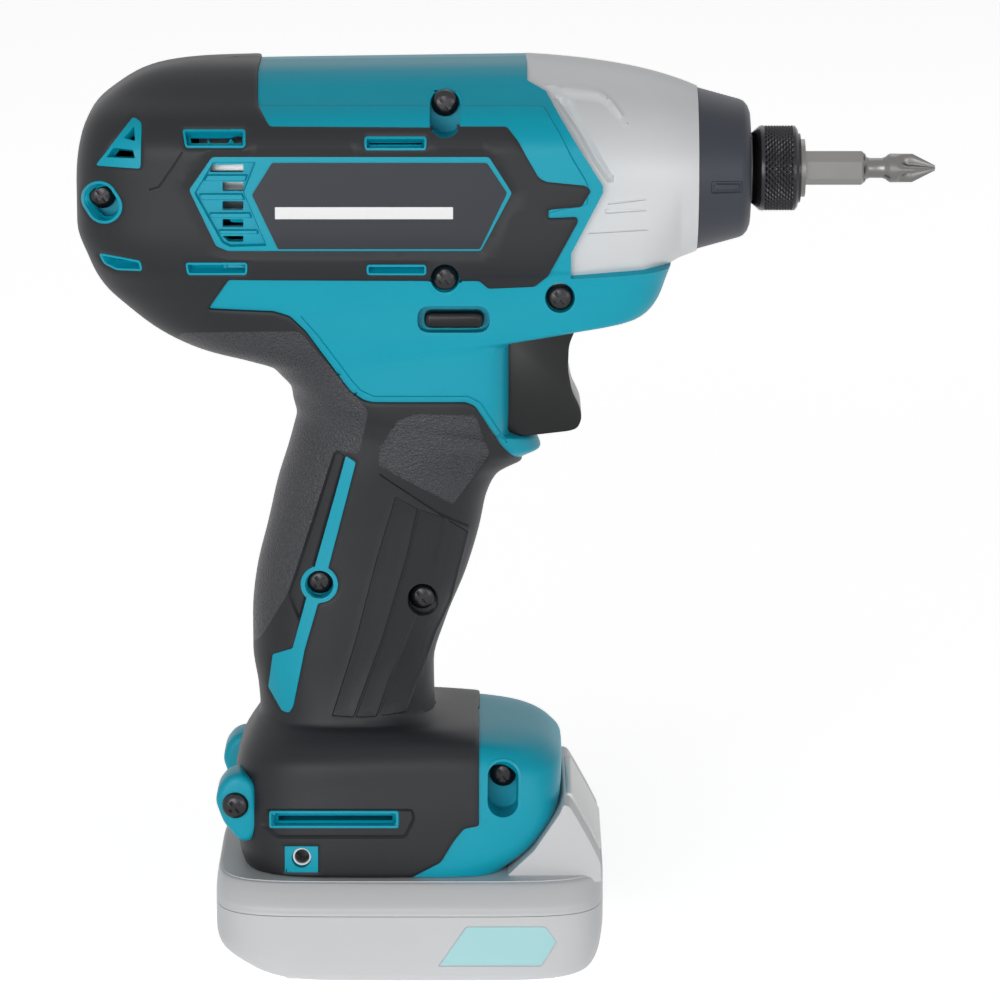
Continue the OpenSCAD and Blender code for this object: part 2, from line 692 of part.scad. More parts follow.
// Ball bearing drawn as its outer ring, inner ring and cage of balls
module bearing(x0, l, outer, inner) {
    ball_r = 0.24 * (outer - inner);
    track = (outer + inner) / 2;
    balls = 8;
    difference() {
        union() {
            tube(x0, l, outer, track + 0.55 * ball_r);
            tube(x0, l, track - 0.55 * ball_r, inner);
            tube(x0 + 0.3 * l, 0.4 * l, track + 0.7 * ball_r, track - 0.7 * ball_r);
        }
        for (i = [0:balls - 1]) translate([x0, 0, axis_z]) rotate([360 * i / balls, 0, 0])
            translate([-over, 0, track]) rotate([0, 90, 0]) cylinder(h = l + 2 * over, r = 0.4 * ball_r);
    }
}
module spindle_bearing() {
    color("#A9ABAE") bearing(gear_x + box_l - spindle_bearing_l, spindle_bearing_l, spindle_bearing_r,
        journal_r + run_gap);
}
module front_bearing() {
    color("#A9ABAE") bearing(box_rear + over, bearing_l, bearing_r, shaft_r + run_gap);
}
module rear_bearing() {
    color("#A9ABAE") bearing(rear_bearing_x, bearing_l, bearing_r, shaft_r + run_gap);
}

module motor_yoke() {
    color("#B9BBBD") tube(yoke_x, yoke_l, yoke_r, yoke_r - yoke_wall);
}
module magnets() {
    outer = yoke_r - yoke_wall - run_gap;
    color("#4B4C4F") intersection() {
        tube(yoke_x + core_inset - winding_l / 2, core_l + winding_l, outer, outer - magnet_t);
        for (s = [0, 1]) along(yoke_x, yoke_l) rotate(90 + 180 * s)
            polygon([
                [0, 0], 2 * yoke_r * [cos(62), sin(62)], [0, 2 * yoke_r],
                2 * yoke_r * [-cos(62), sin(62)],
            ]);
    }
}
module brush_holder() {
    slot = brush_w + 2 * seat_gap;
    color("#26272A") difference() {
        tube(holder_x, holder_l, holder_r, commutator_r + air_gap);
        translate([holder_x + holder_l / 2, 0, axis_z]) cube([slot, 2 * yoke_r, slot], center = true);
    }
}
module brushes() {
    inner = commutator_r + run_gap;
    outer = sqrt(holder_r * holder_r - brush_w * brush_w / 4);
    color("#3A3A3A") for (s = [-1, 1]) difference() {
        translate([holder_x + holder_l / 2, s * (inner + outer) / 2, axis_z])
            cube([brush_w, outer - inner, brush_w], center = true);
        rod(holder_x - over, holder_l + 2 * over, commutator_r + run_gap);
    }
}

module motor_shaft() {
    color("#B4B6B8") {
        rod(rear_bearing_x, pinion_x - rear_bearing_x, shaft_r);
        along(pinion_x, pinion_l)
            polygon(wheel(teeth_sun, pitch_r(teeth_sun) + addendum, pitch_r(teeth_sun) - dedendum, backlash));
    }
}
module armature_core() {
    core_x = yoke_x + core_inset;
    slots = 12;
    color("#8A6A4A") difference() {
        union() {
            rod(core_x, core_l, core_r);
            tube(core_x - winding_l, core_l + 2 * winding_l, 0.9 * core_r, shaft_r + run_gap);
        }
        rod(core_x - over, core_l + 2 * over, shaft_r + run_gap);
        for (i = [0:slots - 1]) translate([0, 0, axis_z]) rotate([360 * i / slots, 0, 0])
            translate([core_x - over, -0.05 * core_r, 0.9 * core_r])
                cube([core_l + 2 * over, 0.1 * core_r, core_r]);
    }
}
module commutator() {
    bars = 12;
    color("#B87333") difference() {
        tube(commutator_x, commutator_l, commutator_r, shaft_r + run_gap);
        for (i = [0:bars - 1]) translate([0, 0, axis_z]) rotate([360 * i / bars, 0, 0])
            translate([commutator_x - over, -0.02 * commutator_r, 0.9 * commutator_r])
                cube([commutator_l + 2 * over, 0.04 * commutator_r, commutator_r]);
    }
}
module cooling_fan() {
    blades = 9;
    plate = 0.2 * fan_l;
    color("#1F2023") difference() {
        union() {
            rod(fan_x + fan_l - plate, plate, fan_r);
            rod(fan_x, fan_l, 2.4 * shaft_r);
            for (i = [0:blades - 1]) translate([0, 0, axis_z]) rotate([360 * i / blades, 0, 0])
                translate([fan_x + plate / 2, -air_gap, 2 * shaft_r])
                    cube([fan_l - plate, 2 * air_gap, 0.96 * fan_r - 2 * shaft_r]);
        }
        rod(fan_x - over, fan_l + 2 * over, shaft_r + run_gap);
    }
}

// Spindle: journal, webs between the planets, flange, cam shaft and pilot
module cam_spindle() {
    web_w = 6;
    color("#8F9194") difference() {
        union() {
            rod(ring_x - spindle_bearing_l, spindle_bearing_l + planet_space / 2, journal_r);
            intersection() {
                rod(ring_x, flange_x - ring_x + flange_l, 1.1 * orbit_r);
                translate([ring_x, 0, axis_z])
                    cube([2 * ring_l + flange_l, 4 * orbit_r, web_w], center = true);
            }
            rod(flange_x, flange_l, flange_r);
            rod(flange_x, wing_x - flange_x - wing_gap / 2, spindle_r);
            rod(flange_x, wing_x + pilot_l - flange_x, pilot_r);
        }
        rod(ring_x - spindle_bearing_l - over,
            flange_x - ring_x + spindle_bearing_l + over - planet_space / 2,
            pitch_r(teeth_sun) + addendum + air_gap);
        for (s = [-1, 1]) translate([flange_x - over, 0, axis_z + s * orbit_r]) rotate([0, 90, 0])
            cylinder(h = flange_l + 2 * over, r = pin_r);
        cam_balls_at(run_gap);
    }
}
cam_ball_r = 2.4;
cam_x = hub_x + 0.4 * hammer_l;
module cam_balls_at(g) {
    for (s = [-1, 1]) translate([cam_x, 0, axis_z + s * spindle_r]) sphere(cam_ball_r + g);
}
module cam_balls() {
    color("#C4C6C8") cam_balls_at(0);
}
module planet_pins() {
    color("#C4C6C8") for (s = [-1, 1]) translate([ring_x + planet_space / 2, 0, axis_z + s * orbit_r])
        rotate([0, 90, 0]) cylinder(h = flange_x + flange_l - ring_x - planet_space / 2, r = pin_r);
}
module planet(s) {
    translate([0, 0, s * orbit_r]) along(ring_x + planet_space, planet_l) difference() {
        polygon(wheel(teeth_planet, pitch_r(teeth_planet) + addendum, pitch_r(teeth_planet) - dedendum,
            backlash));
        circle(pin_r + run_gap);
    }
}
module planet_upper() {
    color("#A3A5A8") planet(1);
}
module planet_lower() {
    color("#A3A5A8") planet(-1);
}

// Sector between two radii, centred on an angle, for the hammer's lugs and the anvil's wings
module sector(r, centre, spread) {
    intersection() {
        circle(r);
        rotate(centre)
            polygon([[0, 0], 2 * r * [cos(spread), -sin(spread)], 2 * r * [cos(spread), sin(spread)]]);
    }
}
hammer_rim_r = 15.4;
spring_seat_l = 4.4;
spring_floor = hammer_x + hub_lead + spring_seat_l;
hammer_coil_r = 12.1;
hammer_wire_r = 0.95;
lug_spread = 24;
wing_spread = 20;
lug_turn = lug_spread + wing_spread + 2;

module hammer() {
    hub_r = 9;
    pocket_l = hub_lead + spring_seat_l;
    color("#77797C") difference() {
        union() {
            rod(hammer_x, hammer_l, hammer_r);
            for (s = [0, 180]) along(hammer_end - over, lug_l + over) difference() {
                sector(0.93 * hammer_r, s, lug_spread);
                circle(0.55 * hammer_r);
            }
        }
        rod(hammer_x - over, hammer_l + lug_l + 2 * over, spindle_r + run_gap);
        rod(hammer_x - over, hub_lead + over, hammer_rim_r);
        tube(hammer_x, pocket_l, hammer_rim_r, hub_r);
        for (s = [-1, 1]) translate([cam_x, 0, axis_z + s * spindle_r]) rotate([0, 90, 0]) {
            cylinder(h = hammer_l, r = cam_ball_r + seat_gap);
            sphere(cam_ball_r + seat_gap);
        }
    }
}

// One unbroken coil along an axis: its closed tube of rings, with its least gap to the next turn printed
module coil(name, x0, l, r, wire_r, turns) {
    rings_per_turn = 8;
    sides_n = 6;
    count = turns * rings_per_turn + 1;
    pitch = (l - 2 * wire_r) / turns;
    points = [for (i = [0:count - 1], k = [0:sides_n - 1])
        let (
            a = 360 * i / rings_per_turn, b = 360 * k / sides_n,
            q = r + wire_r * cos(b))
        [x0 + wire_r + pitch * i / rings_per_turn + wire_r * sin(b), q * sin(a), q * cos(a)]];
    centres = [for (i = [0:count - 1])
        let (a = 360 * i / rings_per_turn)
        [pitch * i / rings_per_turn, r * sin(a), r * cos(a)]];
    least = min([for (i = [0:count - 1 - rings_per_turn], j = [i + rings_per_turn / 2:count - 1])
        norm(centres[i] - centres[j])]) - 2 * wire_r;
    echo(str(name, " least gap between turns in mm: ", least));
    faces = [for (i = [0:count - 2], k = [0:sides_n - 1])
        let (a = i * sides_n + k, b = i * sides_n + (k + 1) % sides_n, c = b + sides_n, d = a + sides_n)
        each quad(a, b, c, d)];
    ends = concat(
        [for (k = [1:sides_n - 2]) [0, k, k + 1]],
        [for (k = [1:sides_n - 2]) let (e = (count - 1) * sides_n) [e, e + k + 1, e + k]]);
    polyhedron(points, concat(faces, ends));
}
module hammer_spring() {
    x0 = flange_x + flange_l + seat_gap;
    color("#6F7174") translate([0, 0, axis_z])
        coil("hammer spring", x0, spring_floor - x0 - seat_gap, hammer_coil_r, hammer_wire_r, 4);
}

module anvil() {
    color("#A6A8AB") difference() {
        union() {
            rod(wing_x, washer_x - wing_x - seat_gap, 1.4 * anvil_r);
            along(wing_x, wing_l) for (s = [0, 180]) sector(0.86 * hammer_r, s + lug_turn, wing_spread);
            rod(wing_x, nose_end - wing_x - seat_gap, anvil_r);
            rod(nose_end - over, anvil_end - nose_end + over, neck_r);
        }
        rod(anvil_end - socket_l, socket_l + over, hex_r + hex_gap, $fn = 6);
        rod(wing_x - over, pilot_l + over + stroke_room, pilot_r + run_gap);
        translate([lock_x, 0, axis_z]) cylinder(h = 3 * neck_r, r = lock_ball_r + run_gap, center = true);
        tube(clip_x, clip_l, neck_r + over, neck_r - clip_l);
    }
}
bit_neck_l = 5.4;
bit_point_l = 10;
flute_tilt = 16;
module driver_bit() {
    shank_end = bit_tip - bit_point_l - bit_neck_l;
    waist_r = 0.36 * hex_af;
    point_r = 0.5 * hex_af;
    color("#A8A9AB") difference() {
        union() {
            translate([bit_start, 0, axis_z]) rotate([0, 90, 0])
                cylinder(h = shank_end - bit_start, r = hex_r, $fn = 6);
            rod(shank_end - over, bit_neck_l + over, waist_r);
            turned([
                [0, bit_tip - bit_point_l - waist_r / 3], [waist_r, bit_tip - bit_point_l - waist_r / 3],
                [point_r, bit_tip - bit_point_l], [point_r, bit_tip - 0.55 * bit_point_l],
                [0.28 * point_r, bit_tip], [0, bit_tip]]);
        }
        // Groove for the lock balls and the four flutes of the cross point
        tube(lock_x - lock_ball_r - seat_gap, 2 * (lock_ball_r + seat_gap), hex_af,
            0.5 * hex_af - 0.4 * lock_ball_r);
        for (i = [0:3]) translate([bit_tip, 0, axis_z]) rotate([45 + 90 * i, 0, 0]) rotate([0, flute_tilt, 0])
            translate([-2 * bit_point_l, 0, 0.22 * point_r]) rotate([45, 0, 0])
                cube([3 * bit_point_l, 2 * point_r, 2 * point_r]);
    }
}
module lock_balls() {
    color("#C4C6C8") for (s = [-1, 1])
        translate([lock_x, 0, axis_z + s * (neck_r + seat_gap / 2 - lock_ball_r)]) sphere(lock_ball_r);
}
module clip_ring() {
    color("#B9BBBD") tube(clip_x + run_gap, clip_l - 2 * run_gap, chamber_r - slide_gap,
        neck_r - clip_l + run_gap);
}

module bit_sleeve() {
    grooves = 36;
    knurl_x = sleeve_x + sleeve_neck_l;
    knurl_l = 0.72 * sleeve_l;
    tooth = 0.05 * sleeve_r;
    color("#2A2B2D") difference() {
        union() {
            rod(sleeve_x, sleeve_neck_l + over, sleeve_neck_r);
            turned([
                [0, knurl_x], [sleeve_r - tooth, knurl_x], [sleeve_r, knurl_x + tooth],
                [sleeve_r, knurl_x + knurl_l - tooth], [sleeve_r - 1.2 * tooth, knurl_x + knurl_l],
                [chamber_r + 2 * tooth, sleeve_x + sleeve_l], [0, sleeve_x + sleeve_l]]);
        }
        rod(sleeve_x - over, sleeve_l + 2 * over, neck_r + run_gap);
        rod(sleeve_x - over, land_x - sleeve_x + over, anvil_r + slide_gap);
        rod(land_x + land_l, sleeve_l, chamber_r);
        for (i = [0:grooves - 1]) translate([knurl_x, 0, axis_z]) rotate([360 * i / grooves, 0, 0])
            translate([-over, 0, sleeve_r]) rotate([45, 0, 0])
                translate([0, -tooth / 2, -tooth / 2]) cube([sleeve_l + over, tooth, tooth]);
    }
}
module sleeve_spring() {
    x0 = land_x + land_l + seat_gap;
    color("#8B8D90") translate([0, 0, axis_z])
        coil("sleeve spring", x0, clip_x - x0 - seat_gap, (neck_r + chamber_r) / 2, sleeve_wire_r,
            sleeve_turns);
}

module trigger() {
    depth = 2 * slide_gap;
    color("#1B1C1E") union() {
        difference() {
            across(-trigger_w, trigger_w) offset(slide_gap, $fn = 24) offset(-slide_gap)
                polygon(sides(trigger_shares));
            block(trigger_rear - over, trigger_rear + 4 * wall, -trigger_w + wall, trigger_w - wall,
                trigger_low + wall, trigger_high - wall);
        }
        translate([trigger_rear + 4 * wall + depth, 0, plunger_z]) rotate([0, -90, 0])
            cylinder(h = plunger_l + 4 * wall + depth, r = plunger_r);
    }
}
module trigger_spring() {
    x0 = switch_front - spring_pocket_l + seat_gap;
    color("#8B8D90") translate([0, 0, plunger_z])
        coil("trigger spring", x0, trigger_rear + 4 * wall - x0 - seat_gap,
            (plunger_r + spring_pocket_r) / 2, trigger_wire_r, 8);
}
module switch_body() {
    color("#232427") difference() {
        block(switch_front - switch_l, switch_front, -switch_w, switch_w, switch_low, switch_high);
        translate([switch_front + over, 0, plunger_z]) rotate([0, -90, 0]) {
            cylinder(h = spring_pocket_l + over, r = spring_pocket_r);
            cylinder(h = switch_l, r = plunger_r + run_gap);
        }
    }
}
module direction_bar() {
    color("#151618") across(-bar_half_y, bar_half_y) translate(bar_mid) pill(bar_l, bar_h);
}

module lamp() {
    color("#E8E8E0") lamp_frame() translate([0, 0, -lamp_l - lens_l + wall]) {
        cylinder(h = lamp_body_l, r = lamp_r);
        translate([0, 0, lamp_body_l]) intersection() {
            sphere(lamp_r);
            cylinder(h = 2 * lamp_r, r = 2 * lamp_r);
        }
    }
}
module lamp_lens() {
    color("#DDE6EA") lamp_frame() translate([0, 0, -lens_l + seat_gap]) cylinder(h = lens_l, r = lens_r);
}

module terminal_block() {
    color("#1F2023") block(block_rear, block_front, -block_w, block_w, block_low, block_high);
}
module terminals() {
    color("#C9A24B") for (s = blade_shares)
        block(blade_rear, blade_rear + blade_l, s * deck_neck_w - blade_t / 2, s * deck_neck_w + blade_t / 2,
            pack_h + 0.3 * deck_h, block_low);
}

module hook_nuts() {
    color("#C8A860") for (s = [-1, 1]) difference() {
        translate([hook_place[0], s * (foot_w - hook_nut_l / 2), hook_place[1]]) rotate([90, 0, 0])
            cylinder(h = hook_nut_l, r = hook_nut_r, center = true);
        translate([hook_place[0], 0, hook_place[1]]) rotate([90, 0, 0])
            cylinder(h = 3 * foot_w, r = hook_thread_r, center = true);
    }
}

// Pan-head screws with a cross recess, driven from the right side into the left shell
module housing_screws() {
    arm = 0.32 * screw_head_r;
    color("#1A1A1C") for (s = screw_place_shares)
        translate([x_at(s[0], s[1]), 0, z_at(s[1])]) rotate([90, 0, 0]) difference() {
            union() {
                translate([0, 0, -screw_tail])
                    cylinder(h = screw_tail + s[2] * head_w + screw_head_l / 2, r = screw_r);
                translate([0, 0, s[2] * head_w + run_gap]) cylinder(h = screw_head_l, r = screw_head_r);
            }
            for (a = [0, 90]) rotate(a) translate([0, 0, s[2] * head_w + screw_head_l])
                cube([1.2 * screw_head_r, arm, screw_head_l], center = true);
        }
}

// Battery pack: sections from the base up, as shares of its half length, its height and its half width
pack_row_shares = [
    [-0.78, 0.000, 0.90, 0.000, 0.94, 0.0, 6, 6],
    [-0.86, 0.10, 0.95, 0.08, 0.99, 0.0, 6, 6],
    [-0.93, 0.30, 0.98, 0.25, 1.00, 0.0, 6, 6],
    [-0.98, 0.55, 1.00, 0.50, 1.00, 0.0, 6, 6],
    [-1.00, 0.72, 1.00, 0.72, 1.00, 0.0, 6, 6],
];
pack_top_row_shares = [
    [-1.00, 0.74, 1.00, 0.74, 1.00, 0.0, 6, 6],
    [-1.00, 0.88, 1.00, 0.88, 0.95, 0.0, 6, 6],
    [-1.00, 1.00, 1.00, 1.00, 0.86, 1.0, 6, 6],
];
pack_top = pack_h - slide_gap;
function pack_row(r) =
    [[r[0] * pack_x, r[1] * pack_top], [r[2] * pack_x, r[3] * pack_top], r[4] * pack_w, r[5], r[6], r[7]];
pack_rows = [for (r = pack_row_shares) pack_row(r)];
pack_top_rows = [for (r = pack_top_row_shares) pack_row(r)];
pack_wall = 2;
pack_seam = pack_row_shares[4][1] * pack_top;
cell_z = pack_wall + cell_r + seat_gap;
cell_step = 2 * cell_r + 2 * seat_gap;
pack_screw_r = 1.2;
pack_screw_head_r = 2;
pack_screw_head_l = 1.4;
pack_screw_gap = 0.95;
pack_screw_x = cell_l / 2 + pack_screw_head_r + pack_screw_gap;
pack_screw_y = 0.62 * pack_w;
pack_screw_z = 0.22 * pack_h;
module at_pack_screws() {
    for (x = [-pack_screw_x, pack_screw_x], s = [-1, 1]) translate([x, s * pack_screw_y, 0]) children();
}

module pack_case() {
    color("#A9ABAE") difference() {
        full_solid(pack_rows, 0);
        block(-cell_l / 2 - seat_gap, cell_l / 2 + seat_gap, -1.5 * cell_step, 1.5 * cell_step,
            pack_wall, pack_h);
        at_pack_screws() {
            translate([0, 0, -over]) cylinder(h = 2 * pack_h, r = pack_screw_r + run_gap);
            translate([0, 0, -over]) cylinder(h = over + pack_screw_z, r = pack_screw_head_r + seat_gap);
        }
    }
}
module pack_screws() {
    color("#2A2B2D") at_pack_screws() {
        translate([0, 0, pack_screw_z - run_gap - pack_screw_head_l])
            cylinder(h = pack_screw_head_l, r = pack_screw_head_r);
        translate([0, 0, pack_screw_z - pack_screw_head_l]) cylinder(h = pack_seam, r = pack_screw_r);
    }
}

button_low = pack_h + 0.13 * foot_h;
button_high = pack_h + 0.34 * foot_h;
button_w = 0.36 * pack_w;
button_t = 2.4;
button_coil_r = 1;
button_wire_r = 0.14;
tower_shares = [
    [0, 0], [0.985, 0], [0.985, 0.12], [0.93, 0.28], [0.87, 0.42], [0.83, 0.50], [0, 0.53],
];
tower_w = 0.72 * pack_w;
wedge_shares = [[0.38, 0], [0.50, 0.17], [0.59, 0.44]];
module pack_cover() {
    spring_space = button_stroke + slide_gap;
    color("#B9BBBD") difference() {
        union() {
            full_solid(pack_top_rows, 0);
            block(deck_rear, tower_x + wall, -deck_neck_w, deck_neck_w, pack_h - wall, deck_top);
            block(deck_rear, tower_x + wall, -deck_w, deck_w, rail_high + slide_gap, deck_top);
            across(-tower_w, tower_w) polygon([for (s = tower_shares)
                [s[0] == 0 ? tower_x : s[0] * pack_x, pack_h - wall + s[1] * (foot_h + wall)]]);
            across(-tower_w, tower_w) polygon(concat(
                [[tower_x + wall / 2, pack_h - wall], [x_at(wedge_shares[0][0], 0), pack_h - wall]],
                [for (s = wedge_shares) side(s) + [1.5 * slide_gap, -slide_gap]],
                [[tower_x + wall / 2, z_at(wedge_shares[2][1])]]));
        }
        block(-cell_l / 2 - seat_gap, cell_l / 2 + seat_gap, -1.5 * cell_step, 1.5 * cell_step,
            0, cell_z + cell_r + seat_gap);
        at_pack_screws() cylinder(h = pack_seam + pack_screw_z, r = pack_screw_r + run_gap);
        // Slots for the tool's blades and the well of the release button
        for (s = blade_shares)
            block(deck_rear - over, blade_rear + blade_l + slide_gap + blade_t, s * deck_neck_w - blade_t,
                s * deck_neck_w + blade_t, pack_h + 0.2 * deck_h, deck_top + over);
        block(pack_x - 2.6 * button_t, 2 * pack_x, -button_w - slide_gap, button_w + slide_gap,
            button_low - spring_space, button_high + slide_gap);
    }
}
module pack_contacts() {
    clip_t = 0.3 * blade_t;
    x0 = blade_rear + 2 * clip_t;
    color("#C9A24B") for (s = blade_shares, t = [-1, 1])
        translate([0, s * deck_neck_w + t * (blade_t - clip_t / 2 - run_gap), 0])
            block(x0, x0 + blade_l / 2, -clip_t / 2, clip_t / 2, pack_h + 0.2 * deck_h, deck_top - over);
}
module cells() {
    color("#3E6FA8") for (s = [-1, 0, 1]) translate([-cell_l / 2, s * cell_step, cell_z]) rotate([0, 90, 0])
        cylinder(h = cell_l, r = cell_r);
}
pack_mark_shares = [[0.14, 0.18], [0.24, 0.58], [0.77, 0.58], [0.72, 0.32], [0.66, 0.18]];
module pack_marks() {
    mark_t = 0.3;
    color("#7CC4C8") for (s = [0, 1]) mirror([0, s, 0])
        across(-pack_w - seat_gap - mark_t, -pack_w - run_gap)
            polygon([for (p = pack_mark_shares) [p[0] * pack_x, p[1] * pack_h]]);
}

button_x = pack_x - 2.6 * button_t + slide_gap;
module release_button() {
    ribs = 2;
    step = (button_high - button_low) / (ribs + 2);
    color("#C6C8CA") union() {
        block(button_x, button_x + button_t, -button_w, button_w, button_low, button_high);
        for (i = [1:ribs]) translate([button_x + button_t, 0, button_low + i * step]) rotate([90, 0, 0])
            cylinder(h = 1.6 * button_w, r = 0.3 * button_t, center = true);
    }
}
module release_spring() {
    z0 = button_low - button_stroke - slide_gap + seat_gap;
    color("#8B8D90") translate([button_x + button_t / 2, 0, 0]) rotate([0, -90, 0])
        coil("release spring", z0, button_low - z0 - seat_gap, button_coil_r, button_wire_r, 4);
}

housing_right();
housing_left();
grip_right();
grip_left();
plate_right();
plate_left();
hammer_case();
nose_bumper();
thrust_washer();
front_bush();
ring_gear();
bearing_box();
spindle_bearing();
front_bearing();
rear_bearing();
motor_yoke();
magnets();
brush_holder();
brushes();
motor_shaft();
armature_core();
commutator();
cooling_fan();
cam_spindle();
cam_balls();
planet_pins();
planet_upper();
planet_lower();
hammer();
hammer_spring();
anvil();
driver_bit();
lock_balls();
clip_ring();
bit_sleeve();
sleeve_spring();
trigger();
trigger_spring();
switch_body();
direction_bar();
lamp();
lamp_lens();
terminal_block();
terminals();
hook_nuts();
housing_screws();
pack_case();
pack_cover();
pack_screws();
pack_contacts();
cells();
pack_marks();
release_button();
release_spring();
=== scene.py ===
"""Cordless impact driver: the looks of its shells, drive end, controls and battery pack."""
import json
import math

import bpy
import numpy as np
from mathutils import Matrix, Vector, geometry, kdtree

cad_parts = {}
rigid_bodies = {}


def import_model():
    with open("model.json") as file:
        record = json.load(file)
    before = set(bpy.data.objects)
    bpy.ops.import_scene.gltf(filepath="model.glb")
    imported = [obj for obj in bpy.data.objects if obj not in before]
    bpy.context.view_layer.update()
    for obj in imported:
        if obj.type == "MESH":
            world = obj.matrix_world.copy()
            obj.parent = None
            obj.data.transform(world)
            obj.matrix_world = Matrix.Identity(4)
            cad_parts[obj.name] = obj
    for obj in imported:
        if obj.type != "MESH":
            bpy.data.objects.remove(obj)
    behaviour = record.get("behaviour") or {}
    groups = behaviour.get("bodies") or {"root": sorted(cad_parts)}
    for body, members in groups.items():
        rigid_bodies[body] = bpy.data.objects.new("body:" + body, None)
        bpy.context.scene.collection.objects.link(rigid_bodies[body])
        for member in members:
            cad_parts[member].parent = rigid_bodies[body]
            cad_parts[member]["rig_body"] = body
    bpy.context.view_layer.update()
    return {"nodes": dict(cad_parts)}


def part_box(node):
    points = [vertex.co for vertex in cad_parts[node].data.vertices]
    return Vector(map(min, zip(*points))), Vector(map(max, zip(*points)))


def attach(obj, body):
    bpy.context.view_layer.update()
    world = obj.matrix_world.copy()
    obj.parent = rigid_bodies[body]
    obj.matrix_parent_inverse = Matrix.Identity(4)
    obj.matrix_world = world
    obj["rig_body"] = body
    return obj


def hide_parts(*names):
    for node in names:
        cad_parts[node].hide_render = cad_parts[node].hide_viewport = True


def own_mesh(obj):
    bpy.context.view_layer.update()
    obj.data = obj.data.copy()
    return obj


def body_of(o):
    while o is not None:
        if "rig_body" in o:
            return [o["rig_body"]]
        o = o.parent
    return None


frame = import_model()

MM = 0.001

# Camera of the photograph, in metres, and its frame in pixels
CAMERA_AT = (0.0197, -1.1405, 0.3637)
CAMERA_TO = (0.0197, 0.0, 0.1004)
LENS_MM = 193.7
SENSOR_MM = 36
FRAME_PX = 1000

# Driving sizes in millimetres, from the frame
AXIS_Z = (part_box("anvil")[0].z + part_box("anvil")[1].z) / 2 / MM
RUBBER_T = 0.8
PACK_H = 22.6
FOOT_H = 32
GRIP_H = 84.4
HEAD_UP = 24.8
REAR_L = 71.2
FRONT_L = 55.3
HEAD_W = -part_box("housing_right")[0].y / MM
GRIP_W = 15.5
FOOT_W = HEAD_W
SHELL_T = 2.2

# Sections of the shell from the foot to the roof, as shares of the sizes above:
# rear point, front point, half width, and how square the rear and front ends are
FOOT_SHARES = [
    (-0.50, 0.00, 0.38, 0.00, 0.98, 4, 6), (-0.52, 0.17, 0.50, 0.17, 1.00, 4, 6),
    (-0.525, 0.36, 0.59, 0.44, 0.99, 4, 6), (-0.525, 0.57, 0.60, 0.70, 0.96, 4, 5),
    (-0.51, 0.73, 0.57, 0.80, 0.94, 4, 4), (-0.49, 0.83, 0.49, 0.89, 0.87, 3.6, 3.6),
    (-0.465, 0.93, 0.36, 0.935, 0.75, 3, 3),
]
GRIP_SHARES = [
    (-0.45, 1.00, 0.16, 0.955, 1.10, 2.6, 2.6), (-0.455, 1.07, 0.085, 1.00, 1.04, 2.4, 2.4),
    (-0.47, 1.16, 0.08, 1.12, 1.00, 2.4, 2.4), (-0.47, 1.25, 0.13, 1.24, 1.00, 2.4, 2.4),
    (-0.455, 1.37, 0.21, 1.37, 1.00, 2.4, 2.4), (-0.42, 1.49, 0.26, 1.48, 1.02, 2.4, 2.4),
    (-0.39, 1.60, 0.29, 1.57, 1.06, 2.4, 2.4), (-0.36, 1.68, 0.34, 1.63, 1.10, 2.4, 2.2),
    (-0.34, 1.74, 0.46, 1.67, 1.13, 2.4, 2.0), (-0.33, 1.78, 0.515, 1.69, 1.15, 2.4, 2.0),
    (-0.34, 1.82, 0.495, 1.72, 1.17, 2.4, 2.2), (-0.35, 1.86, 0.39, 1.75, 1.19, 2.5, 4),
    (-0.38, 1.89, 0.39, 1.87, 1.22, 2.6, 6), (-0.42, 1.92, 0.39, 1.98, 1.25, 2.8, 6),
]
HEAD_SHARES = [
    (-0.50, 1.94, 0.70, 2.06, 0.77, 3, 5), (-0.64, 1.97, 0.90, 2.12, 0.79, 3, 5),
    (-0.75, 2.04, 0.965, 2.22, 0.81, 3.2, 5), (-0.84, 2.19, 1.00, 2.36, 0.84, 3.6, 5),
    (-0.91, 2.34, 1.02, 2.46, 0.90, 4, 5), (-0.95, 2.52, 0.78, 2.50, 0.97, 4.5, 12),
    (-0.98, 2.72, 0.82, 2.71, 1.00, 4.5, 12), (-0.98, 2.96, 0.88, 3.00, 1.00, 4.5, 12),
    (-0.97, 3.26, 0.83, 3.30, 1.00, 4.5, 12), (-0.94, 3.50, 0.77, 3.56, 0.89, 4.5, 12),
    (-0.87, 3.69, 0.73, 3.77, 0.66, 4, 12), (-0.78, 3.84, 0.66, 3.91, 0.46, 4, 12),
    (-0.66, 3.915, 0.60, 3.96, 0.30, 4, 12), (-0.50, 3.945, 0.60, 3.98, 0.00, 4, 12),
]

# Outlines on the body's right side, as corners in pixels of the photograph
RUBBER_PX = [
    (258, 72), (258, 105), (270, 127), (428, 128), (462, 127), (507, 127), (519, 142), (539, 177),
    (546, 181), (586, 185), (591, 191), (582, 207), (549, 210), (548, 218), (577, 217), (578, 222),
    (548, 275), (535, 286), (488, 288), (479, 280), (229, 279), (209, 308), (274, 311), (290, 316),
    (306, 331), (343, 381), (351, 391), (364, 400), (373, 402), (466, 402), (475, 406), (484, 419),
    (501, 445), (516, 457), (545, 475),
]
RUBBER_FOOT_PX = [(479, 780), (479, 826), (464, 829), (454, 841), (441, 862), (412, 877)]
RUBBER_FRONT_X = 15.2
MOUTH_PX = [(527, 10), (527, 80), (546, 91), (603, 186), (603, 193), (571, 254), (571, 279)]
COLLAR_PX = [(230, 106), (544, 106), (560, 133), (574, 160), (588, 183), (588, 205), (540, 215), (230, 215)]
PANEL_PX = [(212, 157), (489, 157), (512, 193), (481, 251), (228, 251), (216, 246), (189, 190)]
PLATE_PX = [(272, 163), (487, 163), (507, 193), (480, 249), (278, 249), (252, 195)]
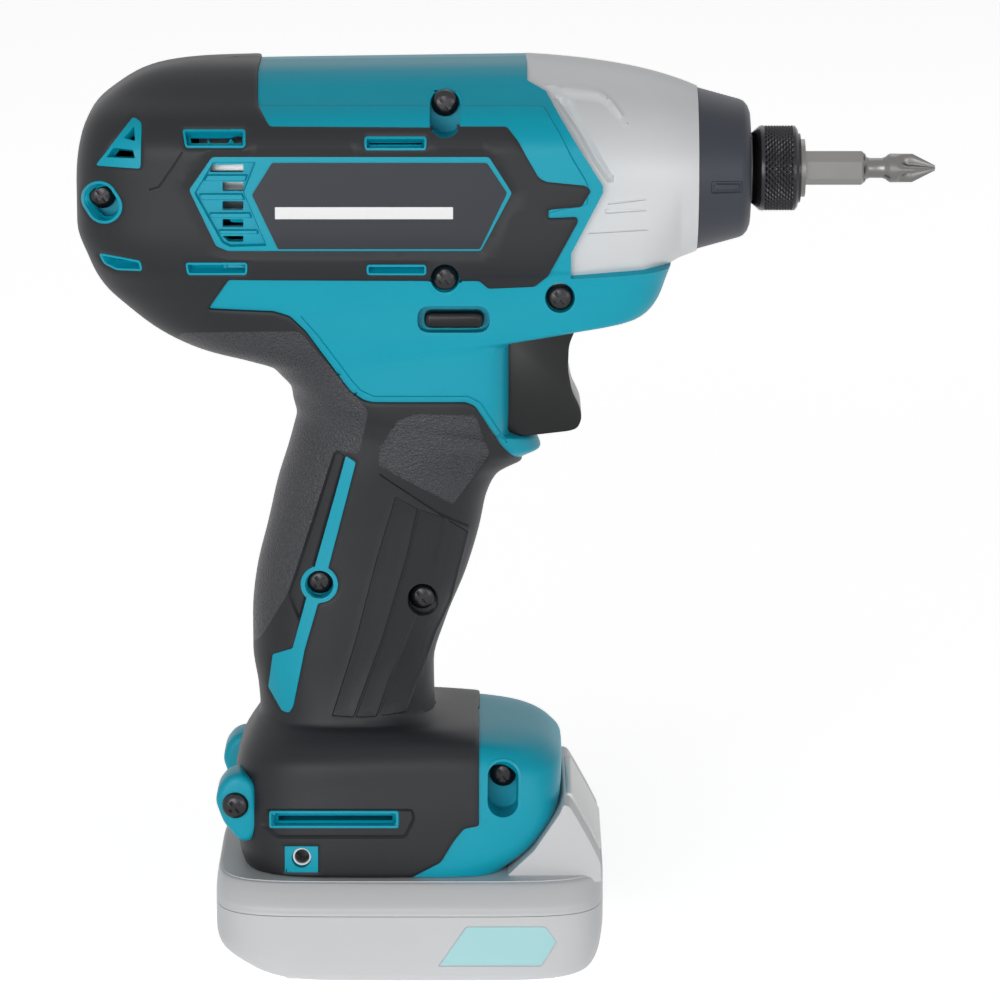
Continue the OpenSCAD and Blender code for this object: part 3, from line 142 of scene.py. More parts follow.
BAR_PX = [(275, 207), (453, 207), (453, 219), (275, 219)]
LOUVRE_PX = [(213, 162), (256, 162), (244, 192), (267, 246), (230, 247), (222, 243), (194, 193)]
LOUVRE_BARS_PX = [
    [(207, 175), (248, 175), (245, 182), (203, 182)], [(198, 194), (242, 194), (245, 201), (201, 201)],
    [(208, 213), (250, 213), (252, 219), (211, 219)], [(217, 230), (257, 230), (259, 235), (220, 235)],
]
LOUVRE_HOLES_PX = [
    [(211, 166), (243, 165), (243, 173), (209, 173)], [(222, 183), (243, 183), (243, 192), (222, 192)],
    [(222, 202), (243, 202), (243, 211), (222, 211)], [(222, 220), (243, 220), (243, 228), (222, 228)],
    [(222, 237), (243, 237), (243, 243), (228, 243)],
]
SLOTS_PX = [
    [(183, 131), (245, 131), (245, 148), (186, 148)], [(365, 138), (426, 138), (426, 150), (365, 150)],
    [(186, 262), (247, 262), (247, 273), (188, 273)], [(367, 264), (426, 264), (426, 273), (367, 273)],
    [(101, 252), (141, 260), (143, 269), (118, 268), (106, 262)],
]
VENT_PX = [(134, 119), (142, 124), (141, 168), (98, 165)]
VENT_HOLES_PX = [[(125, 139), (135, 128), (136, 142)], [(108, 157), (115, 148), (134, 150), (136, 158)]]
STRIPE_PX = [
    (347, 456), (356, 462), (328, 569), (305, 649), (294, 706), (290, 712), (284, 710), (271, 686),
    (275, 654), (294, 648), (316, 566),
]
SLIVER_PX = [(336, 449), (346, 455), (300, 621), (289, 594), (298, 568)]
DIAMOND_PX = [(397, 419), (416, 412), (475, 414), (488, 452), (451, 503), (379, 465), (379, 449)]
BACK_PX = [
    (369, 410), (360, 454), (336, 449), (298, 568), (289, 594), (262, 640), (180, 640), (180, 330),
    (300, 330),
]
RING_PX, RING_R_PX = (320, 584), 18
FLUTES_PX = [
    [(395, 494), (376, 557), (354, 642), (331, 716)],
    [(418, 507), (407, 557), (383, 637), (361, 698), (354, 718)],
    [(444, 516), (431, 574), (414, 618), (390, 676), (376, 718)],
    [(466, 530), (448, 598), (433, 630), (404, 712)],
]
RUBBER_LINES_PX = [[(380, 473), (438, 512), (466, 525)], [(183, 152), (160, 186), (150, 189)]]
BORDER_GROOVE_PX = [
    (301, 316), (318, 335), (352, 380), (361, 390), (374, 396), (468, 396), (480, 402), (490, 417),
    (507, 443),
]
HOOK_RECESS_PX = [(262, 825), (267, 808), (413, 808), (416, 818), (406, 838), (278, 838)]
HOOK_SLOT_PX = [(271, 811), (398, 811), (398, 827), (271, 827)]
NUT_FIELD_PX = [(286, 846), (318, 846), (318, 871), (286, 871)]
NUT_PX, NUT_R_PX = (302, 857), 9.6
PILL_PX = [(417, 306), (490, 306), (490, 333), (417, 333)]
LUG_PX = [
    (240, 774), (227, 778), (218, 789), (215, 803), (223, 824), (239, 843), (252, 843), (258, 828),
    (254, 785),
]

# Screws of the shells: pocket centres at its two ends, pocket radius and head centre in pixels,
# and how far the head's top lies under the skin in millimetres
SCREWS = [
    ((101, 198), (106, 206), 14.6, (102, 196), 3.0), ((445, 104), (445, 124), 15.5, (445, 104), 1.0),
    ((445, 278), (445, 278), 15.0, (445, 278), 0.6), ((560, 298), (560, 298), 15.3, (560, 298), 0.4),
    ((320, 584), (320, 584), 14.0, (320, 582), 0.6), ((422, 598), (422, 600), 15.0, (422, 597), 1.2),
    ((503, 777), (503, 802), 15.8, (503, 775), 5.0),
]
RUBBER_POCKET = 5
LUG_SCREW_PX = (235, 807)
SCREW_R, SCREW_H = 2.87, 2.0
SCREW_RINGS = [(0, SCREW_R), (0.7, SCREW_R), (1.2, 2.72), (1.65, 2.3), (1.92, 1.5), (SCREW_H, 0.5)]

# Outlines on the silver case
RIDGE_PX = [
    (528, 82), (560, 83), (583, 84), (603, 89), (617, 103), (629, 125), (640, 142), (632, 138), (620, 121),
    (611, 109), (600, 101), (571, 98), (552, 92),
]
CHANNEL_PX = [
    (548, 91), (571, 99), (583, 121), (600, 154), (612, 175), (643, 178), (607, 183), (594, 164), (575, 130),
]
CASE_FINS_PX = [
    [(608, 203), (648, 198), (648, 200), (608, 205)], [(605, 209), (648, 209), (648, 211), (605, 214)],
    [(586, 233), (650, 229), (650, 230.5), (586, 234.5)],
    [(640, 232), (641.5, 232), (616, 264), (614.5, 264)],
]
BUMPER_MARK_PX = [(711, 181), (743, 181), (743, 193), (711, 194)]

TRIGGER_PX = [
    (505, 340), (519, 337), (577, 326), (569, 345), (568, 370), (572, 391), (580, 407), (582, 418),
    (578, 428), (570, 431), (526, 436), (505, 436),
]
DIRECTION_PX = [(424, 312), (484, 312), (484, 329), (424, 329)]
TRIGGER_W, DIRECTION_W = 8.2, 21.6


def linear(code):
    """An sRGB hex colour as linear red, green, blue and alpha."""
    parts = [int(code[i:i + 2], 16) / 255 for i in (1, 3, 5)]
    return tuple(c / 12.92 if c <= 0.04045 else ((c + 0.055) / 1.055) ** 2.4 for c in parts) + (1.0,)


def x_at(share):
    """Place along the tool of a share."""
    return share * (REAR_L if share < 0 else FRONT_L)


def z_at(share):
    """Height of a share: foot, grip, head under the axis, head above it."""
    steps = [PACK_H, PACK_H + FOOT_H, PACK_H + FOOT_H + GRIP_H, AXIS_Z, AXIS_Z + HEAD_UP]
    return float(np.interp(share, range(len(steps)), steps))


class Ladder:
    """A lofted skin: sections from the foot to the roof, joined by curves that never swing past them."""

    def __init__(self, rungs):
        self.rungs = np.array(rungs, float)
        step = np.diff(self.rungs, axis=0)
        self.slope = np.zeros_like(self.rungs)
        both = step[:-1] * step[1:]
        total = step[:-1] + step[1:]
        self.slope[1:-1] = np.where(both > 0, 2 * both / np.where(both > 0, total, 1), 0)
        self.slope[1:-1, 0:2] = np.where(both == 0, 0, total / 2)[:, 0:2]
        self.slope[0], self.slope[-1] = step[0], step[-1]
        self.last = len(self.rungs) - 1
        self.reach = self.rungs[:, 4].max()

    def rung(self, s):
        low = np.clip(s.astype(int), 0, self.last - 1)
        t = (s - low)[:, None]
        a, b = self.rungs[low], self.rungs[low + 1]
        ma, mb = self.slope[low], self.slope[low + 1]
        return (a * (1 + 2 * t) * (1 - t) ** 2 + ma * t * (1 - t) ** 2
                + b * t ** 2 * (3 - 2 * t) + mb * t ** 2 * (t - 1))

    def at(self, s, turn):
        """Points at rung numbers and turns, from the rear seam round the right side to the front seam."""
        rung = self.rung(s)
        c, d = np.cos(turn), np.sin(turn)
        power = np.where(c > 0, rung[:, 5], rung[:, 6])
        reach = (np.abs(c) ** power + np.abs(d) ** power) ** (-1 / power)
        mid, half = (rung[:, 0:2] + rung[:, 2:4]) / 2, (rung[:, 2:4] - rung[:, 0:2]) / 2
        place = mid - half * (reach * c)[:, None]
        return np.column_stack([place[:, 0], -rung[:, 4] * reach * d, place[:, 1]])

    def above(self, rung, places):
        """How far places lie above a section's line, and how far along it."""
        way, off = rung[..., 2:4] - rung[..., 0:2], places - rung[..., 0:2]
        along = (off * way).sum(-1) / (way ** 2).sum(-1)
        return off[..., 1] - np.clip(along, 0, 1) * way[..., 1], along

    def find(self, places):
        """Rung numbers and turns of the points that lie at places in the side view."""
        s = np.linspace(0, self.last, 700)
        rung = self.rung(s)
        over, along = self.above(rung[None], places[:, None, :])
        change = over[:, :-1] * over[:, 1:] <= 0
        outside = np.where(change, np.maximum(np.abs(2 * along[:, :-1] - 1) - 1, 0), 1e6)
        pick = outside.argmin(1)
        row = np.arange(len(places))
        low, high, sign = s[pick], s[pick + 1], np.sign(over[row, pick])
        for _ in range(24):
            hit = (low + high) / 2
            same = np.sign(self.above(self.rung(hit), places)[0]) == sign
            low, high = np.where(same, hit, low), np.where(same, high, hit)
        none = ~change.any(1)
        hit[none] = np.where(places[none, 1] > self.rungs[-1, 1], self.last, 0)
        rung = self.rung(np.clip(hit, 0, self.last))
        c = np.clip(1 - 2 * self.above(rung, places)[1], -1, 1)
        power = np.where(c > 0, rung[:, 5], rung[:, 6])
        return np.clip(hit, 0, self.last), np.arctan2((1 - np.abs(c) ** power) ** (1 / power), c)


class Turned:
    """A turned skin about the drive axis: distances along it, and turns from the top round the right side."""

    def __init__(self, places, radii, squares=None):
        self.places, self.radii = places, radii
        self.squares = np.full(len(places), 2.0) if squares is None else squares
        self.reach = max(radii)

    def form(self, s):
        return np.interp(s, self.places, self.radii), np.interp(s, self.places, self.squares)

    def at(self, s, turn):
        r, low = self.form(s)
        c, d = np.cos(turn), np.sin(turn)
        power = np.where(c < 0, low, 2.0)
        r = r * (np.abs(c) ** power + np.abs(d) ** power) ** (-1 / power)
        return np.column_stack([s, -r * d, AXIS_Z + r * c])

    def find(self, places):
        s = np.clip(places[:, 0], self.places[0], self.places[-1])
        r, low = self.form(s)
        c = np.clip((places[:, 1] - AXIS_Z) / r, -1, 1)
        power = np.where(c < 0, low, 2.0)
        return s, np.arctan2((1 - np.abs(c) ** power) ** (1 / power), c)


def seen_on(skin, pixels):
    """Side-view places of photograph pixels that show the skin's right side."""
    look = (Vector(CAMERA_TO) - Vector(CAMERA_AT)).normalized()
    right = look.cross((0, 0, 1)).normalized()
    up = right.cross(look)
    step = SENSOR_MM / LENS_MM / FRAME_PX
    off = (np.asarray(pixels, float) - FRAME_PX / 2) * step
    ray = np.array(look) + off[:, :1] * np.array(right) - off[:, 1:] * np.array(up)
    eye = np.array(CAMERA_AT) / MM
    depth = np.full(len(ray), -skin.reach)
    for _ in range(8):
        place = (eye + ray * ((depth - eye[1]) / ray[:, 1])[:, None])[:, [0, 2]]
        depth = skin.at(*skin.find(place))[:, 1]
    return place


def rounded(corners, radius, steps=4):
    """A closed outline with its corners rounded."""
    corners = np.asarray(corners, float)
    out = []
    for before, corner, after in zip(np.roll(corners, 1, 0), corners, np.roll(corners, -1, 0)):
        ends = []
        for other in (before, after):
            way = other - corner
            ends.append(corner + way * min(radius / np.linalg.norm(way), 0.45))
        for t in np.linspace(0, 1, steps + 1):
            out.append((1 - t) ** 2 * ends[0] + 2 * t * (1 - t) * corner + t ** 2 * ends[1])
    return np.array(out)


def dense(outline, step):
    """The same outline with points no further apart than a step."""
    out = []
    for a, b in zip(outline, np.roll(outline, -1, 0)):
        count = max(1, math.ceil(np.linalg.norm(b - a) / step))
        out.extend(a + (b - a) * i / count for i in range(count))
    return np.array(out)


def circle_of(centre, radius, steps=28):
    """A closed round outline."""
    turn = np.arange(steps) * 2 * math.pi / steps
    return np.array(centre) + radius * np.column_stack([np.cos(turn), np.sin(turn)])


def inset(outline, distance):
    """The outline moved inwards by a distance, or outwards if it is negative."""
    after = np.roll(outline, -1, 0)
    turn = np.sign((outline[:, 0] * after[:, 1] - after[:, 0] * outline[:, 1]).sum())
    way = after - outline
    way = way / np.maximum(np.linalg.norm(way, axis=1), 1e-9)[:, None]
    normal = turn * np.column_stack([-way[:, 1], way[:, 0]])
    both = normal + np.roll(normal, 1, 0)
    both = both / np.maximum((both ** 2).sum(1), 0.6)[:, None] * 2
    return outline + both * distance


def line_at(outline, gap):
    """The line that follows an outline at a distance, without the points that come too near to it."""
    line = inset(outline, gap)
    if not gap:
        return line
    return line[(distance_to(line, outline) > 0.93 * abs(gap)) & (within(line, outline) == (gap > 0))]


def merged(first, second):
    """The outline round two outlines that cross, both in the same sense."""
    def runs(a, b):
        out = ~within(a, b)
        starts = np.flatnonzero(out & ~np.roll(out, 1))
        return [np.roll(a, -i, 0)[:np.argmin(np.roll(out, -i))] for i in starts]
    pieces, others = [], runs(second, first)
    for run in runs(first, second):
        pieces += [run, min(others, key=lambda o: np.linalg.norm(o[0] - run[-1]))]
    return np.concatenate(pieces)


def within(places, outline):
    """True for places inside a closed outline."""
    inside = np.zeros(len(places), bool)
    for a, b in zip(outline, np.roll(outline, -1, 0)):
        if a[1] == b[1]:
            continue
        cross = (a[1] > places[:, 1]) != (b[1] > places[:, 1])
        inside ^= cross & (places[:, 0] < (b[0] - a[0]) * (places[:, 1] - a[1]) / (b[1] - a[1]) + a[0])
    return inside


def distance_to(places, outline):
    """Shortest distance from places to a closed outline."""
    best = np.full(len(places), np.inf)
    for a, b in zip(outline, np.roll(outline, -1, 0)):
        way = b - a
        t = np.clip(((places - a) @ way) / max(way @ way, 1e-12), 0, 1)
        best = np.minimum(best, np.linalg.norm(places - a - t[:, None] * way, axis=1))
    return best


def take_new(old, new):
    """The newer of two heights."""
    return new


def level(places, reliefs, base, owner, own):
    """Height over the skin: reliefs follow their outlines inwards, or outwards, by distance and height.
    Points of a relief's own lines keep the height of their line."""
    height = np.full(len(places), float(base))
    for number, (outline, profile, outward) in enumerate(reliefs):
        gaps, heights = zip(*profile)
        low, high = outline.min(0) - gaps[-1], outline.max(0) + gaps[-1]
        near = np.flatnonzero(((places >= low) & (places <= high)).all(1))
        inside = within(places[near], outline)
        near = near[~inside] if outward else near[inside]
        gap = distance_to(places[near], outline)
        reach = gaps[-1] if outward else np.inf
        near, gap = near[gap < reach], gap[gap < reach]
        fresh = np.interp(gap, gaps, heights)
        blend = np.minimum if outward else np.maximum if heights[-1] > max(base, heights[0]) else take_new
        height[near] = blend(height[near], fresh)
        mine = owner == number
        height[mine] = blend(height[mine], own[mine])
    return height


def close_set(skin, outline, reach=1.3):
    """An outline with more points where its points lie far apart on the skin."""
    for _ in range(2 if len(outline) else 0):
        on = skin.at(*skin.find(outline))
        out = []
        for a, b, p, q in zip(outline, np.roll(outline, -1, 0), on, np.roll(on, -1, 0)):
            count = min(12, max(1, math.ceil(np.linalg.norm(q - p) / reach)))
            out.extend(a + (b - a) * i / count for i in range(count))
        outline = np.array(out)
    return outline


def outward_of(skin, s, turn, span):
    """Unit normals of a skin, away from its middle."""
    tiny = 1e-3
    s = np.clip(s, span[0] + 2 * tiny, span[1] - 0.1)
    seam = (turn < 1e-6) | (turn > math.pi - 1e-6)
    turn = np.clip(turn, 2 * tiny, math.pi - 2 * tiny)
    around = skin.at(s, turn + tiny) - skin.at(s, turn - tiny)
    out = np.cross(around, skin.at(s + tiny, turn) - skin.at(s - tiny, turn))
    out /= np.maximum(np.linalg.norm(out, axis=1), 1e-12)[:, None]
    out[seam, 1] = 0
    return out


def regions(faces, fences):
    """A number for each face, the same for faces that are joined without crossing a fence."""
    group = list(range(len(faces)))

    def root(face):
        while group[face] != face:
            group[face] = group[group[face]]
            face = group[face]
        return face

    first = {}
    for number, (a, b, c) in enumerate(faces):
        for pair in ((a, b), (b, c), (c, a)):
            edge = (min(pair), max(pair))
            if edge in fences:
                continue
            if edge in first:
                group[root(number)] = root(first[edge])
            else:
                first[edge] = number
    return np.array([root(face) for face in range(len(faces))])


def patch(name, skin, span, grid, side, wall, reliefs=(), base=0.0, keep=None, openings=(), paint=(),
          stretch=(6, 32)):
    """A piece of a skin with raised and sunk forms, as a wall of even thickness.
    span gives the first and last rung, grid the rows and columns, base the height over the skin, keep the
    outline that bounds the piece, paint the outlines whose faces take the second finish, and stretch the
    millimetres of a rung and of a turn."""
    loops, owner, own = [], [], []
    for number, (outline, profile, outward) in enumerate(reliefs):
        for gap, height in profile:
            line = line_at(outline, -gap if outward else gap)
            if len(line) < 3:
                continue
            loops.append(close_set(skin, line))
            owner += [number] * len(loops[-1])
            own += [height] * len(loops[-1])
    for outline in list(openings) + list(paint) + ([] if keep is None else [keep]):
        loops.append(close_set(skin, outline))
        owner += [-1] * len(loops[-1])
        own += [0.0] * len(loops[-1])
    rows, columns = grid
    s, turn = np.meshgrid(np.linspace(*span, rows), np.linspace(0, math.pi, columns), indexing="ij")
    s, turn = s.ravel(), turn.ravel()
    points, edges = [], []
    tree = kdtree.KDTree(max(len(owner), 1))
    for loop in loops:
        where = skin.find(loop)
        first = len(points)
        on = skin.at(*where)
        beyond = np.linalg.norm(on[:, [0, 2]] - loop, axis=1) > 0.05
        for place, a, b, off in zip(on, *where, beyond):
            tree.insert(place, len(points))
            owner[len(points)] = -1 if off else owner[len(points)]
            points.append((a * stretch[0], b * stretch[1]))
        edges.extend((first + i, first + (i + 1) % len(loop)) for i in range(len(loop)))
    tree.balance()
    lines = len(points)
    clear = [not lines or tree.find(p)[2] > 0.5 for p in skin.at(s, turn)]
    rim = (turn == 0) | (turn == math.pi) | (s == span[0]) | (s == span[1])
    points += [(a * stretch[0], b * stretch[1]) for a, b, c, d in zip(s, turn, clear, rim) if c or d]
    flat, pairs, faces, source, fence, _ = geometry.delaunay_2d_cdt(
        [Vector(p) for p in points], edges, [], 0, 1e-5)
    flat = np.array([tuple(p) for p in flat])
    s, turn = flat[:, 0] / stretch[0], flat[:, 1] / stretch[1]
    base_points = skin.at(s, turn)
    places = base_points[:, [0, 2]]
    from_line = np.array([max((i for i in ids if i < lines and owner[i] >= 0), default=-1) for ids in source])
    owner, own = np.array(owner + [-1]), np.array(own + [0.0])
    height = level(places, reliefs, base, owner[from_line], own[from_line])
    out = outward_of(skin, s, turn, span)
    solid = (base_points + out * height[:, None]) * MM
    faces = np.array(faces)
    group = regions(faces, {(min(p), max(p)) for p, ids in zip(pairs, fence) if ids})
    middle = skin.at(s[faces].mean(1), turn[faces].mean(1))[:, [0, 2]]
    corner = base_points[faces]
    area = np.linalg.norm(np.cross(corner[:, 1] - corner[:, 0], corner[:, 2] - corner[:, 0]), axis=1)

    def mostly(outline):
        votes = np.bincount(group, area * within(middle, outline), len(faces))
        return (votes > 0.5 * np.bincount(group, area, len(faces)))[group]

    kept = np.ones(len(faces), bool) if keep is None else mostly(keep)
    for hole in openings:
        kept &= ~mostly(hole)
    second = np.zeros(len(faces), bool)
    for outline in paint:
        second |= mostly(outline)
    faces, second = faces[kept], second[kept]
    solid[:, 1] *= -side
    corner = solid[faces]
    facing = np.cross(corner[:, 1] - corner[:, 0], corner[:, 2] - corner[:, 0])
    if (facing * (out[faces].mean(1) * (1, -side, 1))).sum() < 0:
        faces = faces[:, ::-1]
    mesh = bpy.data.meshes.new(name)
    mesh.from_pydata([tuple(p) for p in solid], [], [tuple(map(int, f)) for f in faces])
    mesh.polygons.foreach_set("material_index", second.astype(int))
    piece = bpy.data.objects.new(name, mesh)
    bpy.context.scene.collection.objects.link(piece)
    take(piece)
    edit()
    bpy.ops.mesh.remove_doubles(threshold=0.02 * MM)
    bpy.ops.mesh.delete_loose()
    bpy.ops.object.mode_set(mode="OBJECT")
    if paint:
        for finish_name in ("rubber", "stipple"):
            mesh.materials.append(FINISH[finish_name])
    finish(piece, "SOLIDIFY", thickness=wall * MM, offset=-1, use_even_offset=False)
    smooth(piece)
    return piece


def cup(name, skin, outline, floor, side=-1):
    """A pocket under an opening: a wall along Y from the outline on the skin to a flat floor."""
    rim = skin.at(*skin.find(inset(outline, 0.06)))
    piece = start(name, bpy.ops.mesh.primitive_circle_add, vertices=len(outline), radius=MM)
    for vertex, (x, y, z) in zip(piece.data.vertices, rim):
        vertex.co = (x * MM, -side * y * MM, z * MM)
    edit()
    bpy.ops.mesh.extrude_region_move(TRANSFORM_OT_translate={"value": (0, 0, 0)})
    bpy.ops.transform.resize(value=(1, 0, 1), center_override=(0, -side * floor * MM, 0))
    bpy.ops.mesh.edge_face_add()
    leave()
    if sum(p.normal.y * p.area for p in piece.data.polygons) * side < 0:
        edit()
        bpy.ops.mesh.flip_normals()
        bpy.ops.object.mode_set(mode="OBJECT")
    finish(piece, "SOLIDIFY", thickness=0.6 * MM, offset=-1)
    smooth(piece)
    return piece


def take(piece):
    """Makes a piece the only selected one."""
    bpy.ops.object.select_all(action="DESELECT")
    piece.select_set(True)
    bpy.context.view_layer.objects.active = piece


def start(name, primitive, **settings):
    """A new primitive, by its operator, with nothing else selected."""
    bpy.ops.object.select_all(action="DESELECT")
    primitive(**settings)
    piece = bpy.context.object
    piece.name = name
    return piece


def edit():
    """Edit mode with everything selected."""
    bpy.ops.object.mode_set(mode="EDIT")
    bpy.ops.mesh.select_all(action="SELECT")


def leave():
    """Faces turned outwards, and back to object mode."""
    bpy.ops.mesh.select_all(action="SELECT")
    bpy.ops.mesh.normals_make_consistent(inside=False)
    bpy.ops.object.mode_set(mode="OBJECT")


def finish(piece, kind, **settings):
    """Adds a modifier and applies it."""
    take(piece)
    made = piece.modifiers.new(kind.title(), kind)
    for key, value in settings.items():
        setattr(made, key, value)
    bpy.ops.object.modifier_apply(modifier=made.name)


def smooth(piece, angle=32):
    """Smooth shading that keeps edges sharper than an angle."""
    take(piece)
    bpy.ops.object.shade_smooth_by_angle(angle=math.radians(angle))


def placed(piece, spot, tilt):
    """Turns and moves a piece, in millimetres, and puts its place into its mesh."""
    take(piece)
    piece.rotation_euler = tilt
    piece.location = Vector(spot) * MM
    bpy.ops.object.transform_apply(location=True, rotation=True, scale=True)
    return piece


ALONG_X = (0, math.pi / 2, 0)
TO_RIGHT = (math.pi / 2, 0, 0)


def turned(name, rings, sides=96, spot=(0, 0, AXIS_Z), tilt=ALONG_X, angle=32, spin=0.0):
    """A round piece drawn ring by ring: each ring is a height and a radius in millimetres."""
    low, first = rings[0]
    piece = start(name, bpy.ops.mesh.primitive_circle_add, vertices=sides, radius=first * MM,
                  location=(0, 0, low * MM))
    bpy.ops.object.transform_apply(location=True, rotation=True, scale=True)
    edit()
    for (h0, r0), (h1, r1) in zip(rings, rings[1:]):
        bpy.ops.mesh.extrude_region_move(TRANSFORM_OT_translate={"value": (0, 0, (h1 - h0) * MM)})
        bpy.ops.transform.resize(value=(r1 / r0, r1 / r0, 1), center_override=(0, 0, h1 * MM))
    bpy.ops.mesh.select_all(action="SELECT")
    bpy.ops.mesh.remove_doubles(threshold=1e-6)
    bpy.ops.mesh.fill_holes(sides=0)
    leave()
    placed(piece, (0, 0, 0), (0, 0, spin))
    placed(piece, spot, tilt)
    smooth(piece, angle)
    return piece


def slab(name, outline, y0, y1, bevel=0.0, segments=3, angle=40):
    """A plate of a side-view outline from one depth to another, with rounded edges."""
    piece = start(name, bpy.ops.mesh.primitive_circle_add, vertices=len(outline), radius=MM, fill_type="NGON")
    for vertex, (x, z) in zip(piece.data.vertices, outline):
        vertex.co = (x * MM, y0 * MM, z * MM)
    edit()
    bpy.ops.mesh.extrude_region_move(TRANSFORM_OT_translate={"value": (0, (y1 - y0) * MM, 0)})
    leave()
    if bevel:
        finish(piece, "BEVEL", width=bevel * MM, segments=segments, limit_method="ANGLE",
               angle_limit=math.radians(angle))
    smooth(piece, angle)
    return piece


def wrapped(name, columns, rows, form, wall=0.0):
    """A grid laid on a formula of two shares from 0 to 1 and closed round the first,
    with a wall or with both ends filled."""
    piece = start(name, bpy.ops.mesh.primitive_grid_add, x_subdivisions=columns, y_subdivisions=rows, size=1)
    for vertex in piece.data.vertices:
        vertex.co = Vector(form(vertex.co.x + 0.5, vertex.co.y + 0.5)) * MM
    edit()
    bpy.ops.mesh.remove_doubles(threshold=1e-6)
    if not wall:
        bpy.ops.mesh.fill_holes(sides=0)
    leave()
    if wall:
        finish(piece, "SOLIDIFY", thickness=wall * MM, offset=-1)
    smooth(piece)
    return piece


def joined(name, pieces):
    """Several pieces as one."""
    bpy.ops.object.select_all(action="DESELECT")
    for piece in pieces:
        piece.select_set(True)
    bpy.context.view_layer.objects.active = pieces[0]
    bpy.ops.object.join()
    pieces[0].name = name
    return pieces[0]


def add(tree, kind, settings=None, links=None):
    """Adds a node with its settings, and its inputs as values or as the sockets that feed them."""
    made = tree.nodes.new(kind)
    for key, value in (settings or {}).items():
        setattr(made, key, value)
    for key, value in (links or {}).items():
        if isinstance(value, bpy.types.NodeSocket):
            tree.links.new(value, made.inputs[key])
        else:
            made.inputs[key].default_value = value
    return made


def material(name, colour, second, grain_mm, bump_mm, cloud_mm=12, **shader):
    """A finish with a soft change of colour and a fine relief, both at a grain given in millimetres."""
    made = bpy.data.materials.new(name)
    made.use_nodes = True
    tree = made.node_tree
    bsdf = tree.nodes["Principled BSDF"]
    for key, value in shader.items():
        bsdf.inputs[key.replace("_", " ")].default_value = value
    spot = add(tree, "ShaderNodeTexCoord").outputs["Object"]
    cloud = add(tree, "ShaderNodeTexNoise", None,
                {"Vector": spot, "Scale": 1 / (cloud_mm * MM), "Detail": 3.0})
    mix = add(tree, "ShaderNodeMix", {"data_type": "RGBA"},
              {"Factor": cloud.outputs["Fac"], 6: linear(colour), 7: linear(second)})
    tree.links.new(mix.outputs[2], bsdf.inputs["Base Color"])
    grain = add(tree, "ShaderNodeTexNoise", None,
                {"Vector": spot, "Scale": 1 / (grain_mm * MM), "Detail": 2.0, "Roughness": 0.35})
    bump = add(tree, "ShaderNodeBump", None,
               {"Height": grain.outputs["Fac"], "Strength": 1.0, "Distance": bump_mm * MM})
    tree.links.new(bump.outputs["Normal"], bsdf.inputs["Normal"])
    return made


